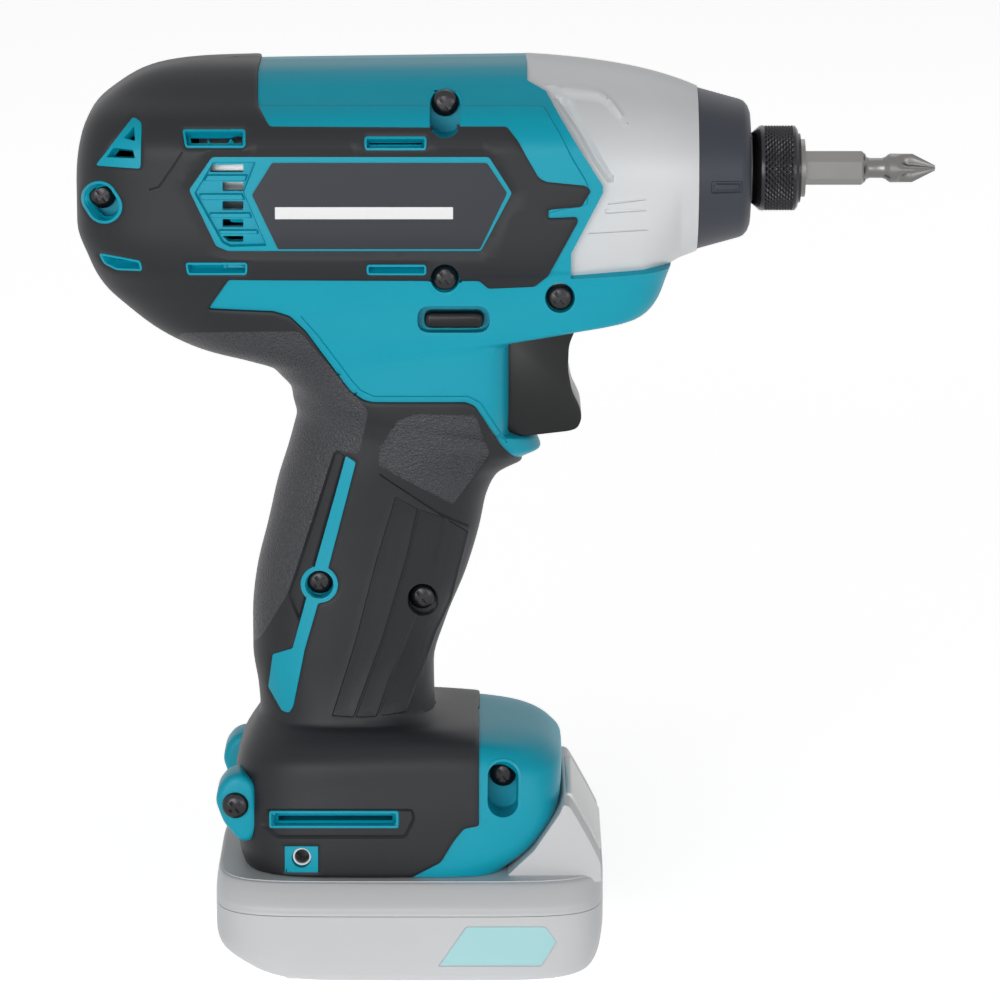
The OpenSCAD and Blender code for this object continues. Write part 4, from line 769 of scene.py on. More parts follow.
def finishes():
    """The finishes of the tool, by name."""
    return {
        # Moulded ABS: a satin teal with a fine spark-eroded grain
        "teal": material("moulded_teal_abs", "#009CB4", "#00A1B8", 0.45, 0.004, Roughness=0.42,
                         Specular_IOR_Level=0.28),
        # Moulded soft rubber: dark grey, dull, with a fine grain
        "rubber": material("moulded_rubber", "#1D1E22", "#222327", 0.5, 0.01, Roughness=0.48,
                           Specular_IOR_Level=0.3),
        # The same rubber with an etched stipple, drawn coarser than it is so that it shows
        "stipple": material("stippled_rubber", "#121316", "#3C3D44", 0.45, 0.4, cloud_mm=0.6, Roughness=0.42,
                            Specular_IOR_Level=0.5),
        # Silver paint on cast aluminium: bright, satin, with fine flakes
        "silver": material("silver_paint", "#CFD1D3", "#D5D7D9", 0.4, 0.006, Roughness=0.4, Metallic=0.1),
        # Nose elastomer: blue-black, smooth and satin
        "bumper": material("nose_elastomer", "#343841", "#373B44", 0.5, 0.004, Roughness=0.45,
                           Specular_IOR_Level=0.35),
        # Black oxide on turned steel: nearly black with a tight shine
        "black_steel": material("black_oxide_steel", "#333335", "#3A3A3C", 0.3, 0.004, Roughness=0.25,
                                Metallic=0.85),
        # Ground steel of the bit: grey and bright, with soft reflections
        "steel": material("ground_steel", "#747372", "#7D7C7B", 0.25, 0.004, Roughness=0.3, Metallic=1.0),
        # Polished black ABS of trigger and direction bar: deep black with clear highlights
        "gloss_black": material("gloss_black_abs", "#0B0C0E", "#0F1012", 0.6, 0.002, Roughness=0.28,
                                Specular_IOR_Level=0.3),
        # Printed label film: dark grey, flat and slightly glossy
        "plate": material("grey_label_film", "#262A31", "#2B2F36", 0.6, 0.001, Roughness=0.35,
                          Specular_IOR_Level=0.3),
        # Moulded ABS of the battery pack: pale grey and satin
        "pack": material("pale_grey_abs", "#CBCCCE", "#CFD0D2", 0.5, 0.004, Roughness=0.45, IOR=1.5),
        # Moulded white ABS of the button: even and satin
        "white": material("white_abs", "#EDEDED", "#F0F0F0", 0.5, 0.003, Roughness=0.4, IOR=1.5),
        # Screen print on the pack: a pale teal film, even and flat
        "pale_teal": material("pale_teal_print", "#A9DADD", "#AFDEE1", 0.5, 0.002, Roughness=0.4, IOR=1.5),
        # Rolled brass of the contacts: warm yellow, bright
        "brass": material("turned_brass", "#C8A860", "#CFB06A", 0.3, 0.004, Roughness=0.3, Metallic=1.0),
        # Drawn copper of the commutator: red and soft in shine
        "copper": material("drawn_copper", "#B8734A", "#C07C52", 0.4, 0.004, Roughness=0.35, Metallic=1.0),
        # Sintered bronze of the bush: brown, dull and slightly porous
        "bronze": material("sintered_bronze", "#9A7B4F", "#A58558", 0.3, 0.008, Roughness=0.5, Metallic=1.0),
        # Zinc plating on steel: pale grey with soft reflections
        "zinc": material("zinc_plated_steel", "#B5B8BA", "#BDC0C2", 0.5, 0.004, Roughness=0.35, Metallic=1.0),
        # Sintered ferrite: dark grey, dull and grainy
        "magnet": material("sintered_ferrite", "#4A4B4E", "#525356", 0.4, 0.01, Roughness=0.6, Metallic=0.3),
        # Moulded nylon of the inner frames: black and matt
        "black": material("black_nylon", "#1A1B1D", "#202123", 0.4, 0.006, Roughness=0.5, IOR=1.5),
        # Shrunk film on the cells: smooth blue with a gloss
        "cells": material("cell_wrap_film", "#3E6FA8", "#4678B0", 0.8, 0.002, Roughness=0.3, IOR=1.5),
        # Clear acrylic of the lamp: nearly white and very glossy
        "clear": material("clear_lens_acrylic", "#DDE6EA", "#E2EAEE", 0.6, 0.001, Roughness=0.08, IOR=1.49),
        # Nylon washer: off-white and matt
        "washer": material("white_nylon", "#E4E4DE", "#E8E8E2", 0.4, 0.004, Roughness=0.5, IOR=1.5),
    }


FINISH = finishes()
CAD_FINISH = {
    "silver": ["hammer_case"],
    "teal": ["housing_right", "housing_left"],
    "rubber": ["grip_right", "grip_left"],
    "bumper": ["nose_bumper"],
    "plate": ["plate_right", "plate_left"],
    "black_steel": ["bit_sleeve", "housing_screws", "pack_screws"],
    "steel": [
        "anvil", "driver_bit", "lock_balls", "cam_spindle", "cam_balls", "hammer", "planet_upper",
        "planet_lower", "planet_pins", "motor_shaft", "front_bearing", "rear_bearing", "spindle_bearing",
        "hammer_spring", "sleeve_spring", "trigger_spring", "release_spring", "clip_ring", "ring_gear",
    ],
    "gloss_black": ["trigger", "direction_bar"],
    "brass": ["terminals", "pack_contacts"],
    "copper": ["commutator"],
    "bronze": ["front_bush"],
    "zinc": ["motor_yoke", "bearing_box", "hook_nuts"],
    "magnet": ["magnets", "armature_core", "brushes"],
    "black": ["brush_holder", "cooling_fan", "switch_body", "terminal_block"],
    "washer": ["thrust_washer"],
    "clear": ["lamp_lens", "lamp"],
    "pack": ["pack_case", "pack_cover"],
    "white": ["release_button"],
    "pale_teal": ["pack_marks"],
    "cells": ["cells"],
}
for finish_name, nodes in CAD_FINISH.items():
    for node_name in nodes:
        mesh = frame["nodes"][node_name].data
        mesh.materials.clear()
        mesh.materials.append(FINISH[finish_name])


def dress(piece, finish_name, body, slot, *nodes):
    """Gives a piece its finish and its body, and hides the nodes that it stands for. The slot is not used."""
    if not piece.data.materials:
        piece.data.materials.append(FINISH[finish_name])
    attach(piece, body)
    if nodes:
        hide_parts(*nodes)
    return piece


def rungs_of(shares, half_width):
    """Sections in millimetres."""
    return [(x_at(a), z_at(b), x_at(c), z_at(d), w * half_width, p, q) for a, b, c, d, w, p, q in shares]


BODY = Ladder(rungs_of(FOOT_SHARES, FOOT_W) + rungs_of(GRIP_SHARES, GRIP_W) + rungs_of(HEAD_SHARES, HEAD_W))


def on_body(corners_px, radius_px=3.0, step_px=4.0):
    """A rounded outline on the body, from corners in pixels."""
    return seen_on(BODY, dense(rounded(corners_px, radius_px), step_px))


def at_depth(pixels, depth):
    """Side-view places of photograph pixels at one depth."""
    return seen_on(Wall(depth), pixels)


class Wall:
    """An upright plane along the tool at one depth."""

    def __init__(self, depth):
        self.reach = -depth

    def find(self, places):
        return places[:, 0], places[:, 1]

    def at(self, x, z):
        return np.column_stack([x, np.full(len(x), -self.reach), z])


def ribbon(line, width):
    """A closed narrow outline along a line."""
    line = np.asarray(line, float)
    way = np.gradient(line, axis=0)
    way /= np.linalg.norm(way, axis=1)[:, None]
    normal = np.column_stack([-way[:, 1], way[:, 0]]) * width / 2
    return np.concatenate([line + normal, (line - normal)[::-1]])


def stadium(first, second, radius, steps=28):
    """A closed outline of a round hole stretched from one centre to another."""
    circle = circle_of((0, 0), radius, steps)
    way = np.subtract(second, first)
    far = circle @ way > 0
    return np.array([np.add(second if f else first, c) for f, c in zip(far, circle)])


# The pack's deck, which slides in the foot, in millimetres
DECK_REAR, DECK_FRONT, DECK_TOP = -34.6, 34.0, 33.6
NECK_W, RAIL_W, RAIL_LOW, RAIL_HIGH = 16.6, 18.2, 28.1, 31.5
DECK_SLOTS = (-12.45, -4.15, 4.15, 12.45)
DECK_GAP = 0.4


def deck_way():
    """Side-view outline of the opening in the foot's front that lets the pack's deck out."""
    turn = np.linspace(math.pi, math.pi / 2, 400)
    edge = []
    for s in np.linspace(0, len(FOOT_SHARES) - 1, 81):
        half = BODY.at(np.full(len(turn), s), turn)
        x, y, z = half[-half[:, 1] < RAIL_W + DECK_GAP][-1]
        if z < DECK_TOP + DECK_GAP:
            edge.append((x, z))
    low, high = edge[0], edge[-1]
    return dense(np.array(edge + [(x_at(1.3), high[1]), (x_at(1.3), low[1] - 3), (low[0], low[1] - 3)]), 0.8)


def inner(profile, *outlines):
    """Reliefs that follow outlines inwards."""
    return [(outline, profile, False) for outline in outlines]


def outer(profile, *outlines):
    """Reliefs that follow outlines outwards."""
    return [(outline, profile, True) for outline in outlines]


def pocket_floor(head_px, sink):
    """Depth of a screw pocket's floor, with the head's top a given depth under the skin."""
    return BODY.at(*BODY.find(seen_on(BODY, [head_px])))[0, 1] + sink + SCREW_H


def body_shells():
    """The two half shells and the rubber on them."""
    rubber = np.concatenate([
        seen_on(BODY, RUBBER_PX),
        [(x_at(0.7), z_at(1.5)), (x_at(0.7), z_at(1.15)), (RUBBER_FRONT_X, z_at(1.15)),
         (RUBBER_FRONT_X, z_at(0.8))],
        seen_on(BODY, RUBBER_FOOT_PX),
        [(-5.0, z_at(0)), (x_at(-1.2), z_at(0)), (x_at(-1.2), z_at(4)), (x_at(-0.435), z_at(4))]])
    rubber = dense(rounded(rubber, 0.6), 0.85)
    panel = on_body(PANEL_PX)
    plate = on_body(PLATE_PX, 2)
    stripe = seen_on(BODY, merged(dense(rounded(STRIPE_PX, 1.5), 4), circle_of(RING_PX, RING_R_PX)))
    rear_ring = seen_on(BODY, stadium(*SCREWS[0][:2], SCREWS[0][2] + 2.4))
    slots = [on_body(o, 3, 3) for o in SLOTS_PX]
    vent = on_body(VENT_PX, 3, 3)
    hook = on_body(HOOK_SLOT_PX, 2)
    hook_mouth = inset(hook, 0.4)
    nut_field = on_body(NUT_FIELD_PX, 0.6)
    pill = on_body(PILL_PX, 13, 3)
    diamond = on_body(DIAMOND_PX, 3)
    frames = [stripe, rear_ring, vent, hook, nut_field] + slots
    pockets = [seen_on(BODY, stadium(a, b, r)) for a, b, r, _, _ in SCREWS]
    mouth = dense(np.array([(x_at(0.475), z_at(4)), *seen_on(BODY, MOUTH_PX), (x_at(1.3), z_at(2.45)),
                            (x_at(1.3), z_at(4))]), 0.8)
    holes_through = [on_body(o, 1.2, 3) for o in VENT_HOLES_PX + LOUVRE_HOLES_PX]
    holes_through += [inset(o, 0.35) for o in slots]
    nut = seen_on(BODY, circle_of(NUT_PX, NUT_R_PX))
    edge = [(0, 0.0), (0.12, 0.55), (0.45, 0.74), (1.0, RUBBER_T)]
    teal_reliefs = (
        inner([(0, 0.0), (0.3, 0.45)], on_body(COLLAR_PX))
        + inner([(0, 0.45), (0.3, 0.0)], inset(panel, -2.4))
        + inner([(0, 0.0), (0.25, 0.65)], *[inset(o, -0.3) for o in frames])
        + inner([(0, 0.0), (0.3, -1.1)], on_body(LOUVRE_PX, 2, 3))
        + inner([(0, -1.1), (0.25, -0.35)], *[on_body(o, 0.8, 3) for o in LOUVRE_BARS_PX])
        + inner([(0, 0), (0.1, -0.3)], seen_on(BODY, dense(ribbon(BORDER_GROOVE_PX, 2), 4))))
    rubber_reliefs = (
        inner(edge, rubber) + outer([(0, 0.1), (1.7, RUBBER_T)], panel) + outer(edge, *frames)
        + inner([(0, RUBBER_T), (0.4, 0.15)], on_body(SLIVER_PX, 1.5))
        + inner([(0, RUBBER_T), (0.3, RUBBER_T - 0.2)], diamond)
        + inner([(0, RUBBER_T), (0.7, 0.1)], on_body(HOOK_RECESS_PX, 4))
        + inner([(0, RUBBER_T), (0.12, RUBBER_T - 0.3)],
                *[seen_on(BODY, dense(ribbon(line, 2), 4)) for line in RUBBER_LINES_PX])
        + inner([(0, RUBBER_T + 0.15), (0.2, 0.62), (1.6, 0.4)],
                *[inset(on_body(a + b[::-1], 2), 0.12) for a, b in zip(FLUTES_PX, FLUTES_PX[1:])]))
    grid = (BODY.last * 5 + 1, 97)
    span = (0, BODY.last)
    for side, word in ((-1, "right"), (1, "left")):
        screwed = list(enumerate(pockets)) if side < 0 else []
        openings = [mouth, pill, hook_mouth, nut, deck_way()] + holes_through
        openings += [inset(o, -0.5 * (n == RUBBER_POCKET)) for n, o in screwed]
        parts = [patch(f"shell_{word}", BODY, span, grid, side, SHELL_T, teal_reliefs, openings=openings),
                 cup("pill_seat", BODY, pill, -18.5, side), cup("hook_seat", BODY, hook_mouth, -17, side)]
        soft = []
        for number, outline in screwed:
            pocket = cup(f"pocket_{number}", BODY, outline, pocket_floor(*SCREWS[number][3:]))
            (soft if number == RUBBER_POCKET else parts).append(pocket)
        parts.append(slab("lug", at_depth(dense(rounded(LUG_PX, 6), 4), -22), side * 21.6, side * 12, 1.6))
        dress(joined(f"shell_{word}", parts), "teal", "tool_body", "teal_plastic", f"housing_{word}")

        holes = [panel] + frames + [o for _, o in screwed]
        coat = patch(f"rubber_{word}", BODY, span, grid, side, RUBBER_T, rubber_reliefs, RUBBER_T, rubber,
                     holes, [diamond, on_body(BACK_PX, 6)])
        for piece in soft:
            piece.data.materials.append(FINISH["rubber"])
        dress(joined(f"rubber_{word}", [coat] + soft), "rubber", "tool_body", "dark_rubber", f"grip_{word}")
        film = patch(f"label_{word}", BODY, span, grid, side, 0.4, base=0.2, keep=plate)
        dress(film, "plate", "tool_body", "plate_grey", f"plate_{word}")
        stroke = patch(f"label_bar_{word}", BODY, span, grid, side, 0.2, base=0.25, keep=on_body(BAR_PX, 0.5))
        dress(stroke, "white", "tool_body", "washer_white")


def screw_heads():
    """Pan heads with a cross recess, one shape copied into each pocket."""
    head = turned("screw_head", SCREW_RINGS, 40, (0, 0, 0), (0, 0, 0))
    for turn in (0, math.pi / 2):
        tool = start("recess", bpy.ops.mesh.primitive_cube_add, size=MM, location=(0, 0, 1.7 * MM),
                     rotation=(0, 0, turn + math.radians(40)), scale=(3.1, 0.85, 1.7))
        finish(head, "BOOLEAN", object=tool, operation="DIFFERENCE", solver="EXACT")
        bpy.data.objects.remove(tool)
    smooth(head, 30)
    spots = []
    for _, _, _, head_px, sink in SCREWS:
        floor = pocket_floor(head_px, sink)
        spots.append((floor, at_depth([head_px], floor - SCREW_H)[0]))
    spots.append((-21.2, at_depth([LUG_SCREW_PX], -23)[0]))
    heads = []
    for floor, (x, z) in spots:
        take(head)
        bpy.ops.object.duplicate()
        heads.append(placed(bpy.context.object, (x, floor, z), TO_RIGHT))
    bpy.data.objects.remove(head)
    dress(joined("screws", heads), "black_steel", "tool_body", "black_steel", "housing_screws")


# Case, as shares of its length and of the head's height, and turned pieces as places along the axis and radii
CASE_SHARES = [(0, 1.0), (0.24, 0.985), (0.44, 0.955), (0.62, 0.905), (0.80, 0.835), (0.97, 0.74), (1, 0.71)]
CASE_FROM, CASE_TO = 18.3, 61.8
BUMPER_RINGS = [(61.9, 17.3), (71.0, 14.8), (71.8, 14.4), (72.6, 13.5), (73.1, 12.2)]
BUMPER_LIP = [(72.4, 12.3), (73.1, 12.2), (73.1, 9.6), (72.0, 9.6), (72.0, 12.3), (72.4, 12.3)]
SLEEVE_REAR = [
    (73.6, 7.6), (74.0, 7.9), (75.2, 9.0), (75.7, 9.15), (76.2, 9.15), (76.3, 8.7), (76.3, 6.6), (73.6, 6.6),
    (73.6, 7.6),
]
SLEEVE_FRONT = [
    (82.2, 8.7), (82.3, 9.1), (82.9, 9.0), (83.4, 8.4), (83.4, 7.5), (84.0, 7.4), (84.0, 6.5), (82.7, 6.5),
    (82.6, 8.2), (82.2, 8.2), (82.2, 8.7),
]
KNURL_FROM, KNURL_L, KNURL_R, KNURL_H = 75.7, 7.0, 8.72, 0.42
KNURL_TEETH, KNURL_SLANT = 22, 2.6
BIT_SHANK = [(74.0, 3.667), (97.2, 3.667), (98.1, 2.9)]
BIT_NECK = [(97.8, 2.95), (98.3, 2.4), (98.9, 2.15), (101.6, 2.15), (102.3, 2.4), (103.0, 2.95), (103.4, 3.1)]
POINT_FROM, POINT_TO, POINT_R, TIP_R, TIP_SLOPE = 103.3, 113.0, 3.1, 0.55, 0.52


def round_about(x, radius, turn):
    """A point at a turn about the drive axis."""
    return x, radius * math.sin(turn), AXIS_Z + radius * math.cos(turn)


def knurl(u, v):
    """Crossed ridges round the sleeve."""
    turn = 2 * math.pi * u
    x = KNURL_FROM + KNURL_L * v
    ridge = 1
    for slant in (KNURL_SLANT, -KNURL_SLANT):
        ridge *= abs(math.sin(KNURL_TEETH * turn + slant * x))
    return round_about(x, KNURL_R + KNURL_H * ridge, turn)


def cross_point(u, v):
    """A cone with four flutes."""
    turn = 2 * math.pi * u
    x = POINT_FROM + (POINT_TO - POINT_FROM) * v
    body = min(POINT_R, TIP_R + (POINT_TO - x) * TIP_SLOPE)
    wings = abs(math.cos(2 * turn)) ** 2.2
    deep = min(1.0, max(0.0, (x - 104.6) / 2.5)) * 0.62
    return round_about(x, body * (1 - deep * (1 - wings)), turn)


def drive_end():
    """Silver case, nose bumper, sleeve and bit."""
    curve = np.polynomial.Polynomial.fit([CASE_FROM + (CASE_TO - CASE_FROM) * a for a, _ in CASE_SHARES],
                                         [HEAD_UP * b for _, b in CASE_SHARES], 4)
    lip = x_at(0.456)
    fine = np.concatenate([np.linspace(CASE_FROM, lip, 10), np.linspace(lip + 0.05, CASE_TO, 50)])
    under = np.where(fine <= lip, 1.2, 0)
    case = Turned(fine, curve(fine) - under, 2 + 2.5 * np.clip((58 - fine) / 8, 0, 1))

    def on_case(corners, radius):
        return seen_on(case, dense(rounded(corners, radius), 3))

    reliefs = (inner([(0, 0), (1.1, 0.8)], on_case(RIDGE_PX, 6))
               + inner([(0, 0), (1.0, -0.8)], on_case(CHANNEL_PX, 4))
               + inner([(0, 0), (0.15, -0.3)], *[on_case(o, 0.5) for o in CASE_FINS_PX]))
    halves = [patch(f"case_{side}", case, (CASE_FROM, CASE_TO), (80, 81), side, 2.0, reliefs, stretch=(1, 24))
              for side in (-1, 1)]
    dress(joined("case", halves), "silver", "tool_body", "silver_paint", "hammer_case")

    places, radii = zip(*BUMPER_RINGS)
    nose = Turned(np.array(places), np.array(radii))
    mark = seen_on(nose, dense(rounded(BUMPER_MARK_PX, 3), 3))
    reliefs = inner([(0, 0), (0.25, -0.35), (0.6, -0.35), (0.85, -0.05)], mark)
    span = (places[0], places[-1])
    halves = [patch(f"bumper_{side}", nose, span, (50, 65), side, 1.8, reliefs, stretch=(1, 17))
              for side in (-1, 1)]
    dress(joined("bumper", halves + [turned("bumper_lip", BUMPER_LIP)]), "bumper", "tool_body", "dark_rubber",
          "nose_bumper")

    sleeve = [wrapped("sleeve_knurl", 352, 44, knurl, wall=0.4), turned("sleeve_rear", SLEEVE_REAR),
              turned("sleeve_front", SLEEVE_FRONT)]
    dress(joined("sleeve", sleeve), "black_steel", "sleeve", "black_steel", "bit_sleeve")
    tip = wrapped("bit_point", 96, 40, cross_point)
    shank = turned("bit_shank", BIT_SHANK, 6, angle=20, spin=math.radians(30))
    neck = turned("bit_neck", BIT_NECK, 48)
    dress(joined("bit", [shank, neck, tip]), "steel", "anvil", "steel", "driver_bit")


def controls():
    """Trigger and direction bar."""
    outline = at_depth(dense(rounded(TRIGGER_PX, 6), 3), -8)
    finger = slab("finger_trigger", outline, -TRIGGER_W, TRIGGER_W, 1.6, 4)
    dress(finger, "gloss_black", "trigger", "black_plastic", "trigger")
    outline = at_depth(dense(rounded(DIRECTION_PX, 8), 3), -21.5)
    bar = slab("direction_pill", outline, -DIRECTION_W, DIRECTION_W, 1.3, 4)
    dress(bar, "gloss_black", "direction_bar", "black_plastic", "direction_bar")


# Pack in millimetres: half length, half width and height, and its sections as shares of them
PACK_X, PACK_W, PACK_TOP = 42.2, 33.0, 22.25
PACK_SHARES = [
    (-0.75, 0.05, 0.88, 0.05, 0.93), (-0.77, 0.06, 0.91, 0.06, 0.96),
    (-0.85, 0.13, 0.95, 0.10, 0.99), (-0.975, 0.30, 0.985, 0.25, 1.00), (-1.00, 0.50, 1.00, 0.50, 1.00),
    (-1.00, 0.70, 1.00, 0.70, 1.00), (-1.00, 0.78, 1.00, 0.78, 0.985), (-0.995, 0.90, 1.00, 0.90, 0.93),
    (-0.985, 0.985, 0.995, 0.985, 0.875), (-0.97, 1.00, 0.98, 1.00, 0.85),
]
PACK_MARK_PX = [(466, 926), (546, 926), (558, 942), (542, 967), (437, 967)]
PACK_SEAM_S = 5.15
TOWER_MM = [
    (19.9, 21.0), (27.1, 28.0), (32.7, 36.4), (33.4, 38.4), (34.8, 37.9), (36.6, 34.8), (39.2, 30.0),
    (41.5, 25.4), (41.7, 21.0),
]
TOWER_W = 23.7
PACK_FEET_MM = [
    [(-27.5, 3.4), (-27.5, 0.9), (-26.5, 0), (-19, 0), (-12, 1.3), (-12, 3.4)],
    [(12, 3.4), (12, 1.3), (19, 0), (31.5, 0), (32.8, 1.2), (32.8, 3.4)],
]
FOOT_IN, FOOT_OUT = 19, 27
BUTTON_MM = [(33.9, 38.3), (35.2, 38.6), (36.9, 35.6), (39.8, 30.4), (42.0, 26.0), (40.4, 25.2)]
BUTTON_W = 15


def lid(name, skin, s):
    """A flat plate that closes a lofted skin at one rung."""
    turn = np.linspace(0, math.pi, 65)
    half = skin.at(np.full(len(turn), s), turn)
    ring = np.concatenate([half, (half * (1, -1, 1))[-2:0:-1]])
    plate = start(name, bpy.ops.mesh.primitive_circle_add, vertices=len(ring), radius=MM, fill_type="NGON")
    for vertex, place in zip(plate.data.vertices, ring):
        vertex.co = place * MM
    finish(plate, "SOLIDIFY", thickness=0.4 * MM, offset=0)
    edit()
    leave()
    return plate


def plank(x0, x1, z0, z1, y0, y1):
    """A plain block of the pack's deck."""
    return slab("pack_deck", np.array([(x0, z0), (x1, z0), (x1, z1), (x0, z1)]), y0, y1, 0.4)


def pack_deck():
    """The block with slots for the contacts and a rail on each side that slides in the foot."""
    base, slot_floor = PACK_TOP - 1, PACK_TOP + 2.4
    slot_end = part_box("pack_contacts")[0].x / MM + 14.8
    walls = [-NECK_W] + [y + side for y in DECK_SLOTS for side in (-1, 1)] + [NECK_W]
    deck = [plank(DECK_REAR, DECK_FRONT, base, slot_floor, -NECK_W, NECK_W),
            plank(slot_end, DECK_FRONT, base, DECK_TOP, -NECK_W, NECK_W)]
    deck += [plank(DECK_REAR, slot_end + 1, base, DECK_TOP, a, b) for a, b in zip(walls[::2], walls[1::2])]
    return deck + [plank(DECK_REAR, DECK_FRONT, RAIL_LOW, RAIL_HIGH, side * (NECK_W - 1), side * RAIL_W)
                   for side in (-1, 1)]


def battery_pack():
    """Lower and upper case, tower, deck, feet, coloured fields and button."""
    skin = Ladder([(a * PACK_X, b * PACK_TOP, c * PACK_X, d * PACK_TOP, w * PACK_W, 6, 6)
                   for a, b, c, d, w in PACK_SHARES])
    mark = seen_on(skin, dense(rounded(PACK_MARK_PX, 3), 4))
    dip = inner([(0, 0), (0.3, -0.3)], mark)
    under, over = (0, PACK_SEAM_S - 0.03), (PACK_SEAM_S + 0.03, skin.last)
    lower, upper, fields = [], [], []
    for side in (-1, 1):
        lower.append(patch(f"pack_lower_{side}", skin, under, (70, 97), side, 2.0, dip))
        upper.append(patch(f"pack_upper_{side}", skin, over, (60, 97), side, 2.0))
        fields.append(patch(f"pack_field_{side}", skin, (0, PACK_SEAM_S), (70, 97), side, 0.3, base=-0.12,
                            keep=inset(mark, 0.35)))
    lower.append(lid("pack_floor", skin, 0.0))
    upper.append(lid("pack_roof", skin, float(skin.last)))
    for outline in PACK_FEET_MM:
        lower += [slab("pack_foot", dense(rounded(outline, 0.6), 2), side * FOOT_IN, side * FOOT_OUT, 0.6)
                  for side in (-1, 1)]
    dress(joined("pack_lower", lower), "pack", "pack", "pack_grey", "pack_case")
    tower = slab("pack_tower", dense(rounded(TOWER_MM, 0.6), 1.5), -TOWER_W, TOWER_W, 1.2, 4)
    dress(joined("pack_upper", upper + [tower] + pack_deck()), "pack", "pack", "pack_grey", "pack_cover")
    dress(joined("pack_fields", fields[::-1]), "pale_teal", "pack", "pale_teal", "pack_marks")
    button = slab("button", dense(rounded(BUTTON_MM, 0.5), 1), -BUTTON_W, BUTTON_W, 0.5)
    dress(button, "white", "release_button", "washer_white", "release_button")


NUT_RINGS = [(0, 1.98), (0.3, 2.0), (4, 2.0), (4, 1.3), (0.5, 1.3), (0, 1.6), (0, 1.98)]
LENS_AT, LENS_TILT = (50.9, 0, 144.6), math.radians(120)
LENS_RINGS = [(-2, 3.3), (0.6, 3.3), (1.1, 2.9), (1.4, 2.0), (1.5, 0.6)]


def small_parts():
    """Threaded nuts of the belt hook and the lamp's lens."""
    x, z = at_depth([NUT_PX], -FOOT_W)[0]
    nuts = [turned(f"nut_{side}", NUT_RINGS, 32, (x, side * (FOOT_W - 0.5), z), (side * math.pi / 2, 0, 0))
            for side in (-1, 1)]
    dress(joined("nuts", nuts), "zinc", "tool_body", "bronze", "hook_nuts")
    lens = turned("lens", LENS_RINGS, 40, LENS_AT, (0, LENS_TILT, 0))
    dress(lens, "clear", "tool_body", "lamp_clear", "lamp_lens")


# Springs: name, node, joint, axis, fixed end in millimetres, and the share of the length left at the limit
SPRINGS = [
    ("hammer_coil", "hammer_spring", "hammer_slide", (1, 0, 0), (27.5, 0, AXIS_Z), 0.42),
    ("sleeve_coil", "sleeve_spring", "sleeve_slide", (1, 0, 0), (82.5, 0, AXIS_Z), 0.30),
    ("trigger_coil", "trigger_spring", "trigger_pull", (1, 0, 0), (1.8, 0, 126.9), 0.74),
    ("button_coil", "release_spring", "button_press", (0, 0, 1), (37.5, 0, 23.4), 0.25),
]


def coils():
    """Copies of the springs, merged at their seams and smoothed, each on the body of its node."""
    for name, node_name, joint, along, end, kept in SPRINGS:
        node = frame["nodes"][node_name]
        take(node)
        bpy.ops.object.duplicate()
        coil = bpy.context.object
        coil.name = name
        edit()
        bpy.ops.mesh.remove_doubles(threshold=1e-6)
        bpy.ops.object.mode_set(mode="OBJECT")
        smooth(coil)
        dress(coil, "steel", body_of(node)[0], "steel", node_name)
        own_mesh(coil)


body_shells()
coils()
small_parts()
screw_heads()
drive_end()
controls()
battery_pack()


def seen_directly(tree):
    """One for what the camera sees, also in metal and through glass, and nothing for light on the object."""
    path = add(tree, "ShaderNodeLightPath")
    seen = path.outputs["Is Camera Ray"]
    for kind in ("Is Glossy Ray", "Is Transmission Ray"):
        most = add(tree, "ShaderNodeMath", {"operation": "MAXIMUM"}, {0: seen, 1: path.outputs[kind]})
        seen = most.outputs[0]
    return seen


# Lamps: place in metres, size and power
LAMPS = {
    "key": ((-0.5, -1.6, 0.30), 1.0, 15),
    "fill": ((0.9, -1.4, 0.10), 1.0, 7),
    "rim": ((0.3, 1.0, 1.4), 1.0, 2),
}
LAMPS_TO = (0.0, 0.0, 0.11)


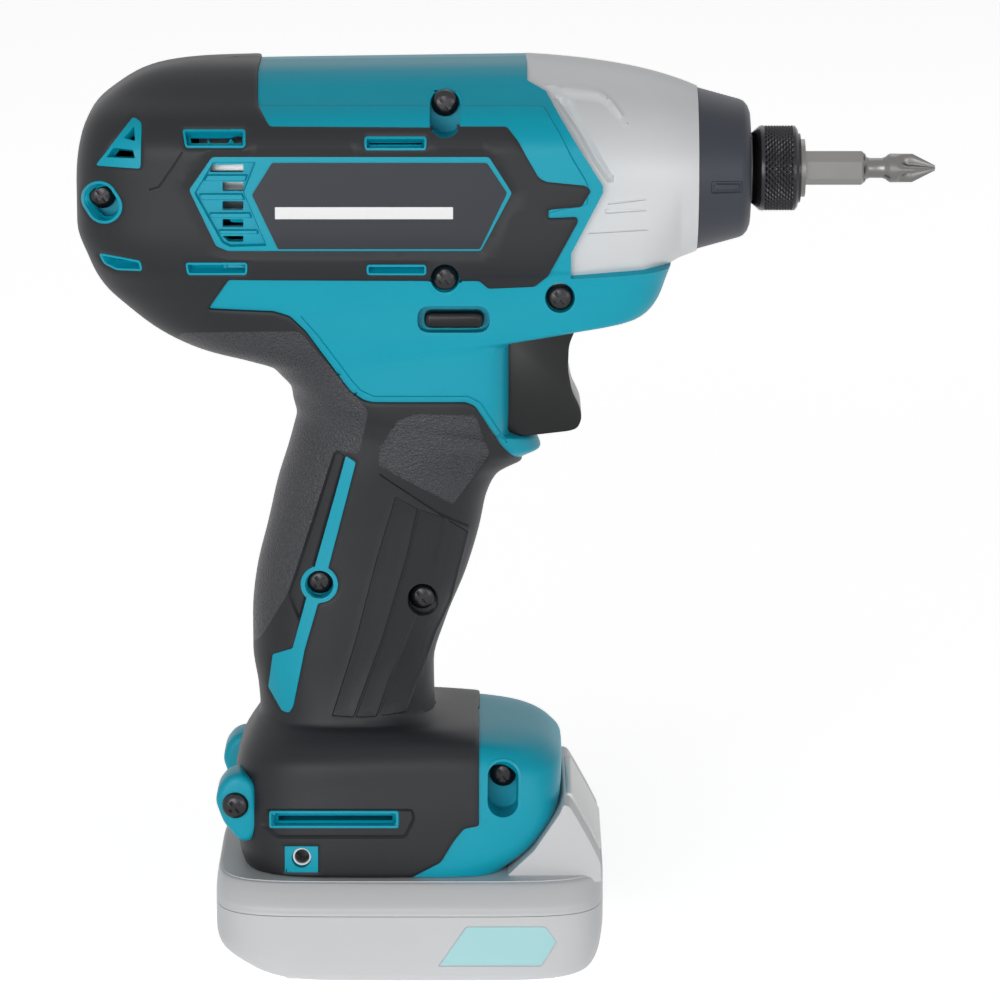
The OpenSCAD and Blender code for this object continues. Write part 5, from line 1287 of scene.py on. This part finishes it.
def facing(spot, target):
    """The turn of a lamp or camera at a spot that looks at a target."""
    return (Vector(target) - Vector(spot)).to_track_quat("-Z", "Y").to_euler()


def stage():
    """Floor, world, lights and camera."""
    floor = start("floor", bpy.ops.mesh.primitive_plane_add, size=6, location=(0, 0, -0.0005))
    paint = bpy.data.materials.new("pale_floor_paint")
    paint.use_nodes = True
    coat = paint.node_tree.nodes["Principled BSDF"]
    coat.inputs["Base Color"].default_value = linear("#F4F4F4")
    coat.inputs["Roughness"].default_value = 0.9
    coat.inputs["Emission Color"].default_value = linear("#FFFFFF")
    glow = add(paint.node_tree, "ShaderNodeMapRange", None,
               {"Value": seen_directly(paint.node_tree), "To Min": 0.4, "To Max": 0.72})
    paint.node_tree.links.new(glow.outputs[0], coat.inputs["Emission Strength"])
    floor.data.materials.append(paint)
    world = bpy.data.worlds.new("studio")
    bpy.context.scene.world = world
    world.use_nodes = True
    tree = world.node_tree
    soft = add(tree, "ShaderNodeBackground", None, {"Color": linear("#FFFFFF"), "Strength": 0.15})
    white = add(tree, "ShaderNodeBackground", None, {"Color": linear("#FFFFFF"), "Strength": 1.0})
    mix = add(tree, "ShaderNodeMixShader", None,
              {0: seen_directly(tree), 1: soft.outputs[0], 2: white.outputs[0]})
    tree.links.new(mix.outputs[0], tree.nodes["World Output"].inputs["Surface"])
    for name, (spot, size, power) in LAMPS.items():
        lamp = bpy.data.lights.new(name, "AREA")
        lamp.size, lamp.energy = size, power
        light = bpy.data.objects.new(name, lamp)
        light.location = spot
        light.rotation_euler = facing(spot, LAMPS_TO)
        bpy.context.scene.collection.objects.link(light)
    camera = bpy.data.objects.new("camera", bpy.data.cameras.new("camera"))
    camera.data.lens, camera.data.sensor_width = LENS_MM, SENSOR_MM
    camera.location = CAMERA_AT
    camera.rotation_euler = facing(CAMERA_AT, CAMERA_TO)
    bpy.context.scene.collection.objects.link(camera)
    bpy.context.scene.camera = camera
    bpy.context.scene.view_settings.view_transform = "Standard"


stage()
